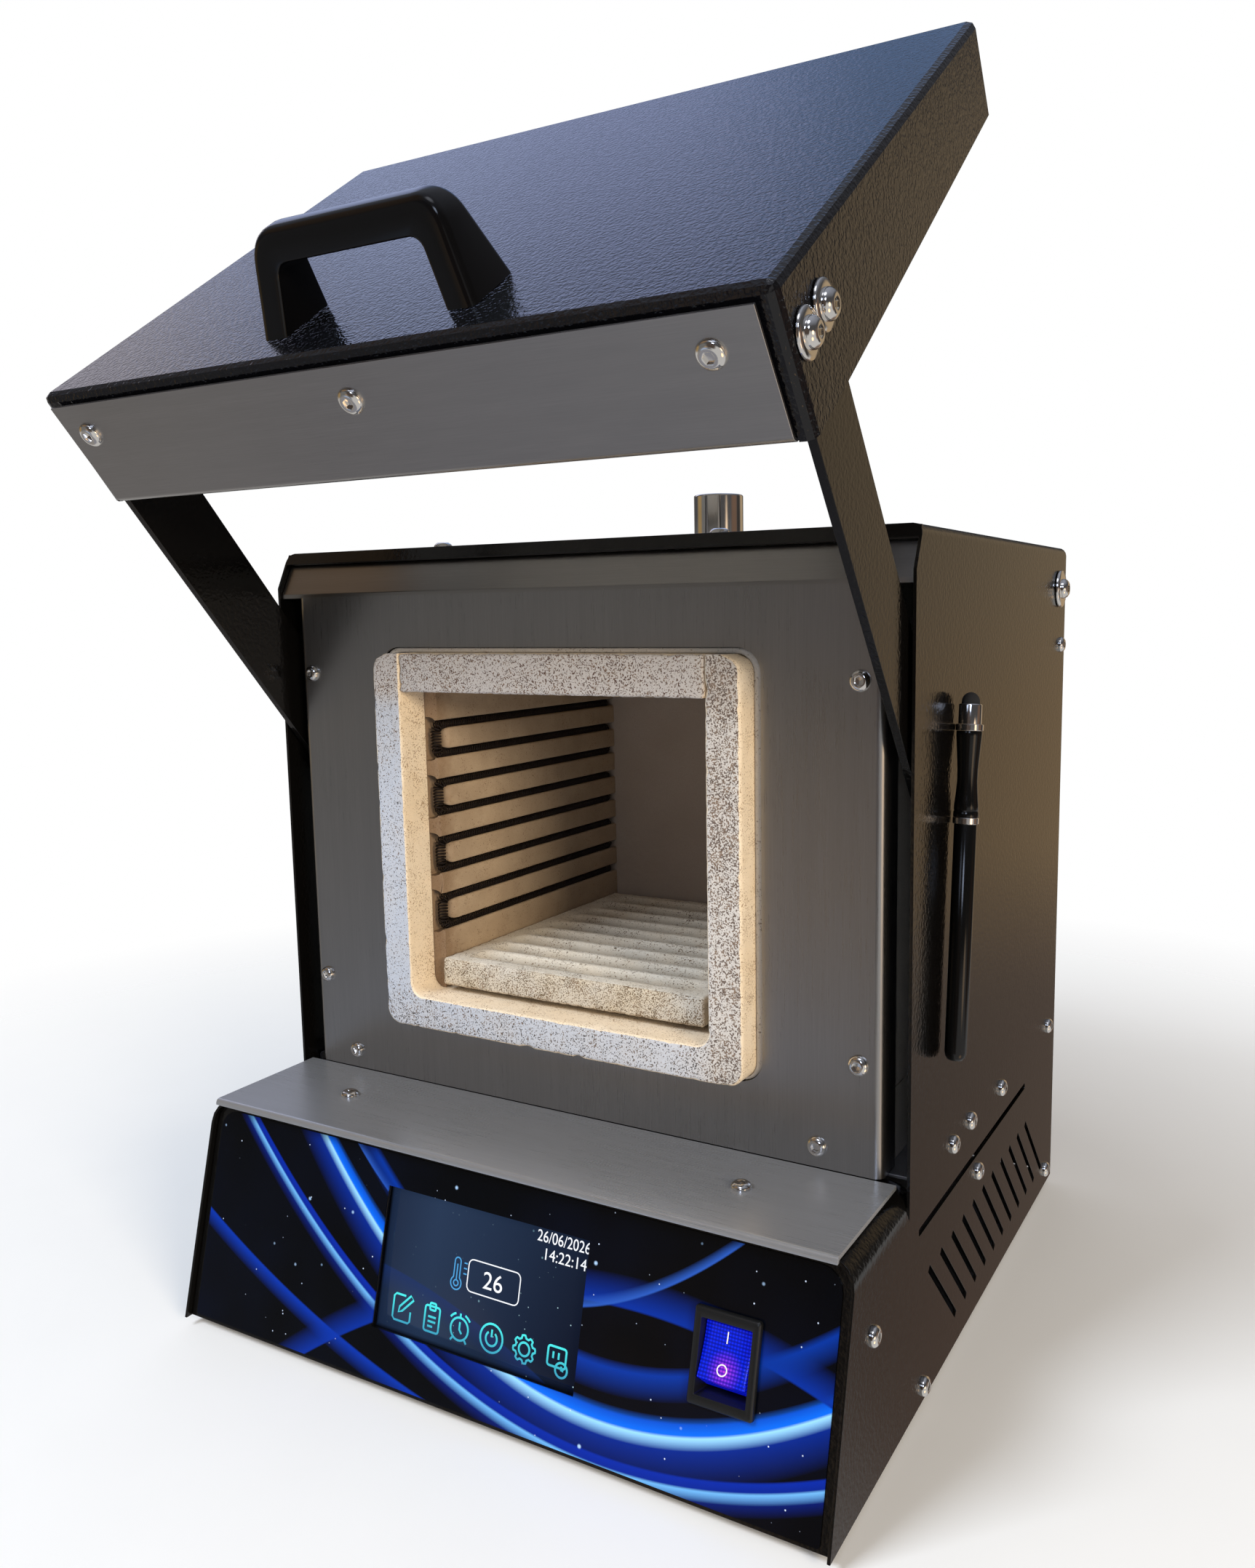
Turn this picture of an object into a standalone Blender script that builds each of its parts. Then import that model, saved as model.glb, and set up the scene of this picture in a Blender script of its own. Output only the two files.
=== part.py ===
"""A small dental lab furnace with a swing-up door, as separate named pieces.

Sizes are in millimetres and turn to metres where a mesh or an empty is made. The furnace's own
frame has x across, y to the rear from the upper box's front edge, and z up from the casing's
lower edge. The door's pieces are drawn closed, and their empty turns them up to the raised pose.
"""

import math

import bmesh
import bpy
from mathutils import Matrix, Vector

MM = 0.001

# Shared clearances
GAP = 0.3
GLUE = 0.1
OVERRUN = 10.0

# Casing wrap
CASE_WIDTH = 300.0
CASE_HEIGHT = 330.0
CASE_DEPTH = 236.7
SHEET = 1.2
TOP_BEND = 4.0
BROW_DROP = 15.9
BROW_BACK = 7.5
LIP_HEIGHT = 5.5
FOOT_SHOW = 4.0

# Console box in front of the upper box
CONSOLE_REACH = 76.0
CONSOLE_HEIGHT = 91.2
CONSOLE_LEAN = math.radians(14.3)
PANEL_RECESS = 2.5
SHOULDER_BEND = 10.0
LEDGE_DEPTH = 8.0

# Cooling slots in the casing's sides
VENT_PITCH = 15.2
VENT_LENGTH = 53.0
VENT_WIDTH = 3.0
VENT_FIRST_Y = 42.5
VENT_REAR_MARGIN = 40.0
VENT_COUNT = 1 + int((CASE_DEPTH - VENT_REAR_MARGIN - VENT_FIRST_Y) / VENT_PITCH)
VENT_Z = 32.0
VENT_ANGLE = math.radians(-46.0)
LONG_SLOT_START = 11.0
LONG_SLOT_MARGIN = 62.7
LONG_SLOT_END = CASE_DEPTH - LONG_SLOT_MARGIN
LONG_SLOT_Z = 71.2
LONG_SLOT_WIDTH = 3.0

# Rear panel, base plate and inner floor
REAR_RECESS = 0.6
REAR_SLOT_COUNT = 9
REAR_SLOT_PITCH = 22.0
REAR_SLOT_LENGTH = 34.0
REAR_SLOT_WIDTH = 4.0
REAR_LOW_SLOT_Z = 58.0
REAR_HIGH_SLOT_DROP = 34.0
REAR_HIGH_SLOT_Z = CASE_HEIGHT - REAR_HIGH_SLOT_DROP
BASE_LIFT = 0.8
BASE_SHEET = 1.5
BASE_FLANGE = 12.0
BASE_SLOT_COUNT = 8
BASE_SLOT_PITCH = 24.0
BASE_SLOT_LENGTH = 60.0
BASE_SLOT_WIDTH = 4.0
BASE_SLOT_Y = 60.0
FLOOR_TOP = 93.1
FLOOR_FLANGE = 14.0
FLOOR_START = 9.0

# Feet
FOOT_RADIUS = 8.0
FOOT_FLARE = 1.5
FOOT_INSET_X = 34.0
FOOT_INSET_Y = 34.0

# Shelf
SHELF_SHEET = 1.6
SHELF_MARGIN = 5.4
SHELF_WIDTH = CASE_WIDTH - 2 * SHELF_MARGIN
SHELF_FRONT = 56.7
SHELF_LIP = 2.6
SHELF_BEND = 1.9

# Fascia
FASCIA_SET_BACK = 1.2
FASCIA_MARGIN = 11.0
FASCIA_WIDTH = CASE_WIDTH - 2 * FASCIA_MARGIN
FASCIA_FOLD_DROP = 18.6
FASCIA_FOLD = CASE_HEIGHT - FASCIA_FOLD_DROP
FASCIA_BROW = 14.5
FASCIA_BROW_LEAN = math.radians(26.7)
FASCIA_RETURN = 14.0

# Muffle, whose depth and height follow the casing's
MUFFLE_WIDTH = 175.2
MUFFLE_WALL = 14.7
MUFFLE_LOW = 122.1
MUFFLE_DROP = 44.7
MUFFLE_HIGH = CASE_HEIGHT - MUFFLE_DROP
MUFFLE_PROUD = 8.5
MUFFLE_CORNER = 7.2
CHAMBER_WIDTH = MUFFLE_WIDTH - 2 * MUFFLE_WALL
MUFFLE_FLOOR = 14.1
CHAMBER_LOW = MUFFLE_LOW + MUFFLE_FLOOR
MUFFLE_ROOF = 16.2
CHAMBER_HIGH = MUFFLE_HIGH - MUFFLE_ROOF
CHAMBER_REAR_ROOM = 84.0
CHAMBER_END = CASE_DEPTH - CHAMBER_REAR_ROOM
CHAMBER_CHAMFER = 6.0
REAR_WALL = 15.0
PLATE_STEP_Y = 7.2
PLATE_STAND = 6.6
PLATE_INNER = CHAMBER_WIDTH / 2 - PLATE_STAND
PLATE_LET_IN = 7.1
PLATE_OUTER = CHAMBER_WIDTH / 2 + PLATE_LET_IN

# The fascia's window round the muffle
WINDOW_MARGIN = 3.6
WINDOW_WIDTH = MUFFLE_WIDTH + 2 * WINDOW_MARGIN
WINDOW_LOW_MARGIN = 0.7
WINDOW_LOW = MUFFLE_LOW - WINDOW_LOW_MARGIN
WINDOW_HIGH_MARGIN = 2.4
WINDOW_HIGH = MUFFLE_HIGH + WINDOW_HIGH_MARGIN
WINDOW_CORNER = 9.6
GASKET_SET_BACK = 1.5
GASKET_DEPTH = 5.9

# Heater grooves and coils
RUN_TOP_MARGIN = 15.1
RUN_TOP_Z = CHAMBER_HIGH - RUN_TOP_MARGIN
RUN_PITCH = 12.8
RUN_LOW_MARGIN = 26.0
RUN_COUNT = 1 + int((RUN_TOP_Z - CHAMBER_LOW - RUN_LOW_MARGIN) / RUN_PITCH)
GROOVE_MOUTH = 3.0
GROOVE_BORE = 3.2
GROOVE_DEPTH = 4.3
LAND_INSET = 6.0
COIL_RADIUS = 2.1
WIRE_RADIUS = 0.5
COIL_TURN_INSET = 3.1
COIL_TURN_RADIUS = 3.0
CURLS_PER_RUN = 8
CURL_POINTS = 8
LEAST_COIL_GAP = 0.4

# Insulation
BLANKET_MARGIN = 13.0
BLANKET_HALF = CASE_WIDTH / 2 - BLANKET_MARGIN
BLANKET_START = 9.0
BLANKET_ROOF = 36.0
BLANKET_REAR = 30.0
BLANKET_ROOF_STEP = 10.0

# Flue and chimney
FLUE_MARGIN = 4.7
FLUE_Y = CHAMBER_END - FLUE_MARGIN
FLUE_RADIUS = 4.2
CHIMNEY_RADIUS = 12.25
CHIMNEY_BORE = 9.8
CHIMNEY_SHOW = 28.0
CHIMNEY_CHAMFER = 1.0
CHIMNEY_CLEARANCE = 0.4

# Thermocouple
PROBE_X = 33.0
PROBE_DROP = 55.1
PROBE_Z = CHAMBER_HIGH - PROBE_DROP
PROBE_RADIUS = 3.0
PROBE_REACH = 24.0
PROBE_HEAD_RADIUS = 9.0
PROBE_HEAD = 14.0

# Tray
TRAY_SIDE_GAP = 1.3
TRAY_WIDTH = 2 * (PLATE_INNER - TRAY_SIDE_GAP)
TRAY_THICKNESS = 12.2
TRAY_FRONT = 3.0
TRAY_END_ROOM = 8.7
TRAY_DEPTH = CHAMBER_END - TRAY_END_ROOM
TRAY_FOOT = 2.5
TRAY_FOOT_WIDTH = 12.0
TRAY_BORDER = 7.5
RIB_COUNT = 9
RIB_VALLEY = 3.4
RIB_CREST = 4.0
TRAY_CORNER = 3.0

# Screen, film and board, in the console's plane
FILM = 0.4
FILM_MARGIN = 4.7
FILM_WIDTH = CASE_WIDTH - 2 * FILM_MARGIN
FILM_LOW = 1.8
FILM_TOP_MARGIN = 1.8
FILM_HIGH = CONSOLE_HEIGHT - FILM_TOP_MARGIN
FILM_TOP_CORNER = 8.0
FILM_LOW_CORNER = 1.2
SCREEN_WIDTH = 96.0
SCREEN_LOW = 21.5
SCREEN_HIGH = 76.5
SCREEN_RECESS = 3.4
SCREEN_RIM = 6.0
SCREEN_BODY = 8.6
SCREEN_RIM_DEPTH = 1.6
BOARD_WIDTH = 124.0
BOARD_THICKNESS = 1.6
BOARD_MARGIN = 7.0
CHIP_SIZE = 16.0
CHIP_HEIGHT = 3.0
PLUG_WIDTH = 30.0
PLUG_HEIGHT = 9.0

# Mains switch
SWITCH_MARGIN = 43.8
SWITCH_X = CASE_WIDTH / 2 - SWITCH_MARGIN
SWITCH_UP = 49.8
BEZEL_WIDTH = 25.2
BEZEL_HEIGHT = 33.0
BEZEL_PROUD = 2.2
BEZEL_CORNER = 1.2
SWITCH_BODY_WIDTH = 21.8
SWITCH_BODY_HEIGHT = 28.2
SWITCH_BODY_DEPTH = 25.0
ROCKER_ROOM_WIDTH = 19.2
ROCKER_ROOM_HEIGHT = 25.4
ROCKER_ROOM_DEPTH = 15.5
ROCKER_SIDE_GAP = 0.45
ROCKER_AXIS_DEPTH = 9.0
ROCKER_REACH = 10.5
ROCKER_FACE_HALF = 9.0
ROCKER_SKIRT_HALF = 11.9
ROCKER_SKIRT_REACH = 1.0
ROCKER_HEEL_HALF = 7.5
ROCKER_HEEL_REACH = 3.0
ROCKER_TILT = math.radians(13.0)
ROCKER_PIN = 1.5
ROCKER_PIN_LENGTH = 0.7
ROCKER_PIN_GAP = 0.35

# Power parts in the base
SUPPLY_SIZE = (98.0, 96.0, 34.0)
SUPPLY_MARGIN = 12.0
SUPPLY_REAR = 140.7
SUPPLY_CORNER = (SUPPLY_MARGIN - CASE_WIDTH / 2, CASE_DEPTH - SUPPLY_REAR)
SINK_SIZE = (92.0, 80.0, 30.0)
SINK_X = 24.0
SINK_REAR = 126.7
SINK_CORNER = (SINK_X, CASE_DEPTH - SINK_REAR)
SINK_BASE = 5.0
SINK_FINS = 9
SINK_FIN = 2.4
RELAY_SIZE = (45.0, 58.0, 24.0)
BLOCK_SIZE = (60.0, 22.0, 20.0)
BLOCK_X = -30.0
BLOCK_REAR = 36.7
BLOCK_CORNER = (BLOCK_X, CASE_DEPTH - BLOCK_REAR)
BLOCK_POLES = 5
BLOCK_HOLE = 6.0
BLOCK_NOTCH = 9.0

# Cable inlet
GLAND_MARGIN = 54.0
GLAND_X = GLAND_MARGIN - CASE_WIDTH / 2
GLAND_Z = 34.0
GLAND_THREAD = 7.8
GLAND_FLANGE = 11.0
GLAND_FLANGE_DEPTH = 4.0
GLAND_CAP = 9.0
GLAND_SHOW = 13.0
GLAND_BORE = 4.2
GLAND_INSIDE = 9.0
GLAND_CLEARANCE = 0.4

# Door swing
PIVOT_REAR = 14.7
PIVOT_DROP = 20.4
PIVOT_Y = CASE_DEPTH - PIVOT_REAR
PIVOT_Z = CASE_HEIGHT - PIVOT_DROP
DOOR_SWING = math.radians(50.5)

# Door, drawn closed
DOOR_MARGIN = 1.55
DOOR_WIDTH = CASE_WIDTH - 2 * DOOR_MARGIN
DOOR_FOOT_Z = 95.7
DOOR_SHORT = 106.2
DOOR_HEIGHT = CASE_HEIGHT - DOOR_SHORT
DOOR_FACE_GAP = 1.2
DOOR_DEPTH_LOW = 45.9
DOOR_DEPTH_TOP = 33.3
DOOR_HEEL_IN = 1.8
DOOR_HEEL_OUT = 3.0
DOOR_BEND = 3.0
LINER_MARGIN = 5.65
LINER_WIDTH = DOOR_WIDTH - 2 * LINER_MARGIN
LINER_FRONT_INSET = 3.8
LINER_BEND = 3.0
LINER_WINDOW_SIDE = 1.8
LINER_WINDOW_HALF = WINDOW_WIDTH / 2 + LINER_WINDOW_SIDE
LINER_WINDOW_BELOW = 10.4
LINER_WINDOW_LOW = WINDOW_LOW - LINER_WINDOW_BELOW
LINER_WINDOW_ABOVE = 4.3
LINER_WINDOW_HIGH = WINDOW_HIGH + LINER_WINDOW_ABOVE
LINER_WINDOW_CORNER = 6.0
BOARD_FACE_GAP = 0.5
DOOR_BOARD_MARGIN = 12.8
DOOR_BOARD_HALF = LINER_WIDTH / 2 - DOOR_BOARD_MARGIN
DOOR_BOARD_GAP = 0.6

# Door handle, on the door's outer face
HANDLE_START = 16.4
HANDLE_DEPTH = 25.8
HANDLE_HALF = 43.9
HANDLE_TOP_HALF = 37.2
HANDLE_HEIGHT = 31.0
HANDLE_BAR = 10.0
HANDLE_LEG = 11.0
HANDLE_FRONT_SLOPE = 10.2
HANDLE_REAR_SLOPE = 4.9
HANDLE_CORNER = 10.0
HANDLE_INNER_CORNER = 5.0
HANDLE_SOFTEN = 1.6

# Door arms
ARM_MARGIN = 6.1
ARM_INNER = CASE_WIDTH / 2 - ARM_MARGIN
ARM_THICKNESS = 3.0
ARM_LOW = 101.0
ARM_WIDTH = 31.0
ARM_FRONT = 40.0
ARM_LEG_AHEAD = 20.0
ARM_LEG_FRONT = PIVOT_Y - ARM_LEG_AHEAD
ARM_LEG_BEHIND = 12.0
ARM_LEG_REAR = PIVOT_Y + ARM_LEG_BEHIND
ARM_EYE = 12.0
ARM_TAPER = 30.0
ARM_CORNER = 10.0

# Bolts
PIVOT_SHAFT = 4.0
PIVOT_HOLE_GAP = 0.35
PIVOT_WASHER = 9.0
PIVOT_WASHER_THICKNESS = 1.5
PIVOT_HEAD = 4.7
PIVOT_HEAD_HEIGHT = 2.9
PIVOT_BUSH = 7.0
PIVOT_NUT = 7.5
PIVOT_NUT_THICKNESS = 4.0
ARM_BOLT_SHAFT = 2.5
ARM_BOLT_GAP = 0.35
ARM_WASHER = 7.3
ARM_WASHER_THICKNESS = 1.2
ARM_HEAD = 4.7
ARM_HEAD_HEIGHT = 2.9
ARM_NUT = 4.6
ARM_NUT_THICKNESS = 3.4
ARM_BOLT_SETBACK = 26.2
ARM_BOLT_LOW_Z = 108.4
ARM_BOLT_HIGH_Z = 123.4

# Stylus on the right side
STYLUS_Y = 36.3
STYLUS_Z = 130.8
STYLUS_TILT = math.radians(5.5)
STYLUS_BARREL = 4.25
STYLUS_END = 3.2
STYLUS_END_LENGTH = 3.0
STYLUS_BARREL_LENGTH = 89.8
STYLUS_LOW_RING = 4.85
STYLUS_RING_LENGTH = 2.4
STYLUS_COLLAR = 4.7
STYLUS_WAIST = 3.8
STYLUS_BULGE = 4.85
STYLUS_GRIP_LENGTH = 32.4
STYLUS_TOP_RING = 5.15
STYLUS_SLEEVE = 4.3
STYLUS_SLEEVE_LENGTH = 7.6
STYLUS_DOME = 3.3
STYLUS_DOME_LENGTH = 4.3
STYLUS_SIDE_GAP = 0.2

# Mesh fineness, in counts, and the digits that outlines are rounded to
ROUNDING = 4
BEND_STEPS = 4
CORNER_STEPS = 5
ROUND_STEPS = 20
SMALL_STEPS = 12
BORE_STEPS = 8
DOME_STEPS = 4

# Shares of the sizes that they follow
WAIST_PROFILE_SHARES = ((0.0, 0.0), (0.12, 0.06), (0.26, 0.62), (0.42, 1.0), (0.56, 0.8), (0.72, 0.0))
HEAD_DOME_SHARES = ((1.0, 0.0), (1.0, 0.28), (0.86, 0.62), (0.6, 0.87), (0.3, 0.98))
RIB_VALLEY_SHARES = ((0.0, 0.0), (0.2, 0.75), (0.5, 1.0), (0.8, 0.75), (1.0, 0.0))

COLOURS = {
    "black_paint": ((0.012, 0.012, 0.014), 0.45, 0.0),
    "galvanised": ((0.42, 0.43, 0.45), 0.5, 1.0),
    "stainless": ((0.45, 0.44, 0.43), 0.32, 1.0),
    "chrome": ((0.62, 0.6, 0.58), 0.12, 1.0),
    "ceramic": ((0.62, 0.55, 0.46), 0.95, 0.0),
    "fibre": ((0.74, 0.71, 0.66), 1.0, 0.0),
    "gasket": ((0.35, 0.34, 0.33), 0.9, 0.0),
    "wire": ((0.03, 0.024, 0.02), 0.6, 0.6),
    "rubber": ((0.015, 0.015, 0.015), 0.8, 0.0),
    "black_plastic": ((0.012, 0.013, 0.015), 0.4, 0.0),
    "film": ((0.008, 0.012, 0.04), 0.35, 0.0),
    "screen": ((0.01, 0.025, 0.07), 0.08, 0.0),
    "board": ((0.01, 0.12, 0.05), 0.5, 0.0),
    "rocker": ((0.0, 0.02, 0.6), 0.2, 0.0),
    "brass": ((0.5, 0.36, 0.13), 0.35, 1.0),
    "gunmetal": ((0.03, 0.03, 0.035), 0.25, 1.0),
    "soft_tip": ((0.02, 0.02, 0.022), 0.7, 0.0),
}

HALF = CASE_WIDTH / 2
INSIDE = HALF - SHEET
LEAN_SIN, LEAN_COS = math.sin(CONSOLE_LEAN), math.cos(CONSOLE_LEAN)


# Helpers for outlines, as lists of points in a plane
def fillet(points, radius, steps=BEND_STEPS, closed=True):
    """The outline with each inner corner turned into an arc."""
    result = []
    count = len(points)
    for i, point in enumerate(points):
        corner = Vector(point)
        if not closed and i in (0, count - 1):
            result.append(tuple(corner))
            continue
        before = (Vector(points[i - 1]) - corner).normalized()
        after = (Vector(points[(i + 1) % count]) - corner).normalized()
        r = radius[i] if isinstance(radius, (list, tuple)) else radius
        half = before.angle(after) / 2
        if r <= 0 or half > math.pi / 2 - 0.01:
            result.append(tuple(corner))
            continue
        centre = corner + (before + after).normalized() * (r / math.sin(half))
        start = corner + before * (r / math.tan(half)) - centre
        end = corner + after * (r / math.tan(half)) - centre
        sweep = start.angle_signed(end)
        for k in range(steps + 1):
            result.append(tuple(centre + Matrix.Rotation(-sweep * k / steps, 2) @ start))
    return [(round(u, ROUNDING), round(v, ROUNDING)) for u, v in result]


def offset(points, distance):
    """The open path moved to its right by distance, with mitred corners."""
    result = []
    count = len(points)
    for i in range(count):
        here = Vector(points[i])
        ahead = (Vector(points[min(i + 1, count - 1)]) - Vector(points[min(i, count - 2)])).normalized()
        behind = (Vector(points[max(i, 1)]) - Vector(points[max(i - 1, 0)])).normalized()
        right_ahead = Vector((ahead.y, -ahead.x))
        right_behind = Vector((behind.y, -behind.x))
        mitre = (right_ahead + right_behind).normalized()
        result.append(tuple(here + mitre * (distance / mitre.dot(right_ahead))))
    return result


def folded(path, thickness, bend):
    """The outline of a sheet folded along the path, whose face is the path and whose body is to the right."""
    inner = offset(path, thickness)
    face = fillet(path, bend, closed=False)
    back = fillet(inner, max(bend - thickness, thickness / 4), closed=False)
    return face + back[::-1]


def rectangle(low, high, radius=0.0, steps=CORNER_STEPS):
    """A rectangle from its low to its high corner, with rounded corners."""
    corners = [(low[0], low[1]), (high[0], low[1]), (high[0], high[1]), (low[0], high[1])]
    return fillet(corners, radius, steps)


def ring(centre, radius, steps):
    """The points of a regular polygon round the centre."""
    turn = 2 * math.pi / steps
    return [
        (centre[0] + radius * math.cos(turn * k), centre[1] + radius * math.sin(turn * k))
        for k in range(steps)
    ]


# Helpers for objects
def material(name):
    found = bpy.data.materials.get(name)
    if found:
        return found
    colour, roughness, metallic = COLOURS[name]
    made = bpy.data.materials.new(name)
    made.use_nodes = True
    shader = made.node_tree.nodes["Principled BSDF"]
    shader.inputs["Base Color"].default_value = (*colour, 1.0)
    shader.inputs["Roughness"].default_value = roughness
    shader.inputs["Metallic"].default_value = metallic
    made.diffuse_color = (*colour, 1.0)
    return made


def empty(name, place, tilt=0.0, parent=None):
    """An empty that carries pieces, tilted about x."""
    made = bpy.data.objects.new(name, None)
    made.location = Vector(place) * MM
    made.rotation_euler = (tilt, 0.0, 0.0)
    made.parent = parent
    bpy.context.scene.collection.objects.link(made)
    return made


def add_object(name, mesh_maker, look, parent):
    """A mesh object from a bmesh in millimetres."""
    bmesh.ops.scale(mesh_maker, vec=(MM, MM, MM), verts=mesh_maker.verts)
    bmesh.ops.recalc_face_normals(mesh_maker, faces=mesh_maker.faces)
    mesh = bpy.data.meshes.new(name)
    mesh_maker.to_mesh(mesh)
    mesh_maker.free()
    made = bpy.data.objects.new(name, mesh)
    if look:
        mesh.materials.append(material(look))
    else:
        made.hide_render = True
        made.display_type = "WIRE"
    made.parent = parent
    bpy.context.scene.collection.objects.link(made)
    return made


def smooth(obj):
    """Shades the round faces smooth and keeps the edges sharp."""
    obj.data.shade_smooth()
    obj.data.set_sharp_from_angle(angle=math.radians(40.0))
    return obj


def extrude_outline(maker, outline, span, axis):
    """Adds to the bmesh an outline in the plane across the axis, drawn out over the span."""
    order = {"X": (2, 0, 1), "Y": (0, 2, 1), "Z": (0, 1, 2)}[axis]
    ends = []
    for level in span:
        flat = [(u, v, level) for u, v in outline]
        ends.append([maker.verts.new([point[k] for k in order]) for point in flat])
    maker.faces.new(ends[0])
    maker.faces.new(ends[1][::-1])
    for i in range(len(outline)):
        j = (i + 1) % len(outline)
        maker.faces.new([ends[0][i], ends[1][i], ends[1][j], ends[0][j]])


def prism(name, outline, span, axis, look=None, parent=None):
    maker = bmesh.new()
    extrude_outline(maker, outline, span, axis)
    return add_object(name, maker, look, parent or ROOT)


def box(name, low, high, look=None, parent=None):
    return boxes(name, [(low, high)], look, parent)


def boxes(name, corners, look=None, parent=None):
    """One object of boxes that stand apart, each given by its low and high corner."""
    maker = bmesh.new()
    for low, high in corners:
        extrude_outline(maker, rectangle(low[:2], high[:2]), (low[2], high[2]), "Z")
    return add_object(name, maker, look, parent or ROOT)


def turned(name, profile, place, axis, look=None, parent=None, steps=ROUND_STEPS, tilt=0.0):
    """A turned piece: profile points of radius and height, closed on the axis at both ends."""
    maker = bmesh.new()
    turn = Matrix.Rotation(math.pi / 2, 3, "Y") if axis == "X" else Matrix.Identity(3)
    if axis == "Y":
        turn = Matrix.Rotation(-math.pi / 2, 3, "X")
    rings = []
    for radius, height in profile:
        points = ring((0.0, 0.0), radius, steps) if radius > 0 else [(0.0, 0.0)]
        rings.append([maker.verts.new(turn @ Vector((x, y, height))) for x, y in points])
    for low, high in zip(rings, rings[1:]):
        join_rings(maker, low, high, steps)
    for end in (rings[0], rings[-1]):
        if len(end) > 1:
            maker.faces.new(end)
    made = add_object(name, maker, look, parent or ROOT)
    made.location = Vector(place) * MM
    made.rotation_euler = (tilt, 0.0, 0.0)
    return smooth(made)


def join_rings(maker, low, high, steps):
    for i in range(steps):
        j = (i + 1) % steps
        corners = [low[i % len(low)], low[j % len(low)], high[j % len(high)], high[i % len(high)]]
        kept = [corner for k, corner in enumerate(corners) if corner not in corners[:k]]
        maker.faces.new(kept)


def combine(target, others, operation):
    """Cuts the others from the target, or joins them to it."""
    for other in others:
        change = target.modifiers.new(other.name, "BOOLEAN")
        change.operation = operation
        change.solver = "EXACT"
        change.object = other
    return target


def cut(target, *cutters):
    return combine(target, cutters, "DIFFERENCE")


def unite(target, *pieces):
    return combine(target, pieces, "UNION")


def soften(target, width, segments=2):
    """Rounds the sharp edges."""
    change = target.modifiers.new("soft edges", "BEVEL")
    change.width = width * MM
    change.segments = segments
    change.limit_method = "ANGLE"
    change.angle_limit = math.radians(30.0)
    return target


# The casing and what closes it
def brow_lean():
    return math.atan2(BROW_BACK, BROW_DROP)


def console_y(height):
    """Where the console's face stands at this height."""
    return -CONSOLE_REACH + height * math.tan(CONSOLE_LEAN)


def inverted_u(half, height, low=0.0):
    return [(-half, low), (-half, height), (half, height), (half, low)]


def make_console_shell():
    over = OVERRUN
    outline = folded(inverted_u(HALF, CONSOLE_HEIGHT), SHEET, SHOULDER_BEND)
    shell = prism("console_shell", outline, (-CONSOLE_REACH - over, LEDGE_DEPTH), "Y")
    high = CONSOLE_HEIGHT + over
    front = [
        (-CONSOLE_REACH - 2 * over, -over),
        (console_y(-over), -over),
        (console_y(high), high),
        (-CONSOLE_REACH - 2 * over, high),
    ]
    return cut(shell, prism("console_lean", front, (-HALF - over, HALF + over), "X"))


def make_brow_cutter():
    over = OVERRUN
    kink = CASE_HEIGHT - BROW_DROP
    slope = BROW_BACK / BROW_DROP
    outline = [
        (-over, kink),
        (0.0, kink),
        (BROW_BACK + over * slope, CASE_HEIGHT + over),
        (-over, CASE_HEIGHT + over),
    ]
    return prism("brow_cutter", outline, (-HALF - over, HALF + over), "X")


def make_top_lip():
    """The top's front edge, folded down along the brow."""
    lean = brow_lean()
    down = Vector((-math.sin(lean), -math.cos(lean)))
    inward = Vector((math.cos(lean), -math.sin(lean))) * SHEET
    start = Vector((BROW_BACK, CASE_HEIGHT)) + down * (SHEET / 2)
    end = Vector((BROW_BACK, CASE_HEIGHT)) + down * LIP_HEIGHT
    outline = [tuple(p) for p in (start, start + inward, end + inward, end)]
    side = HALF - SHEET / 2
    return prism("top_lip", outline, (-side, side), "X")


def make_vent_cutter():
    """The slanted slots, each cut through both sides at once."""
    maker = bmesh.new()
    half = (VENT_LENGTH / 2, VENT_WIDTH / 2)
    for i in range(VENT_COUNT):
        centre = Vector((VENT_FIRST_Y + i * VENT_PITCH, VENT_Z))
        turn = Matrix.Rotation(VENT_ANGLE, 2)
        outline = [tuple(centre + turn @ Vector(p)) for p in rectangle((-half[0], -half[1]), half)]
        extrude_outline(maker, outline, (-HALF - OVERRUN, HALF + OVERRUN), "X")
    return add_object("vent_cutter", maker, None, ROOT)


def make_long_slot_cutter():
    low = (LONG_SLOT_START, LONG_SLOT_Z - LONG_SLOT_WIDTH / 2)
    high = (LONG_SLOT_END, LONG_SLOT_Z + LONG_SLOT_WIDTH / 2)
    outline = rectangle(low, high, LONG_SLOT_WIDTH / 3, 2)
    return prism("long_slot_cutter", outline, (-HALF - OVERRUN, HALF + OVERRUN), "X")


def cross_hole(name, y, z, radius, half=HALF, steps=SMALL_STEPS, parent=None):
    """A round cutter along x through both sides."""
    return prism(name, ring((y, z), radius, steps), (-half - OVERRUN, half + OVERRUN), "X", None, parent)


def make_casing():
    outline = folded(inverted_u(HALF, CASE_HEIGHT), SHEET, TOP_BEND)
    casing = prism("casing", outline, (0.0, CASE_DEPTH), "Y", "black_paint")
    cut(casing, make_brow_cutter())
    unite(casing, make_console_shell(), make_top_lip())
    pivot = cross_hole("pivot_cutter", PIVOT_Y, PIVOT_Z, PIVOT_SHAFT + PIVOT_HOLE_GAP)
    flue = prism(
        "casing_flue_cutter",
        ring((0.0, FLUE_Y), CHIMNEY_RADIUS + CHIMNEY_CLEARANCE, ROUND_STEPS),
        (CASE_HEIGHT - OVERRUN, CASE_HEIGHT + OVERRUN),
        "Z",
    )
    cut(casing, make_vent_cutter(), make_long_slot_cutter(), pivot, flue)


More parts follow.
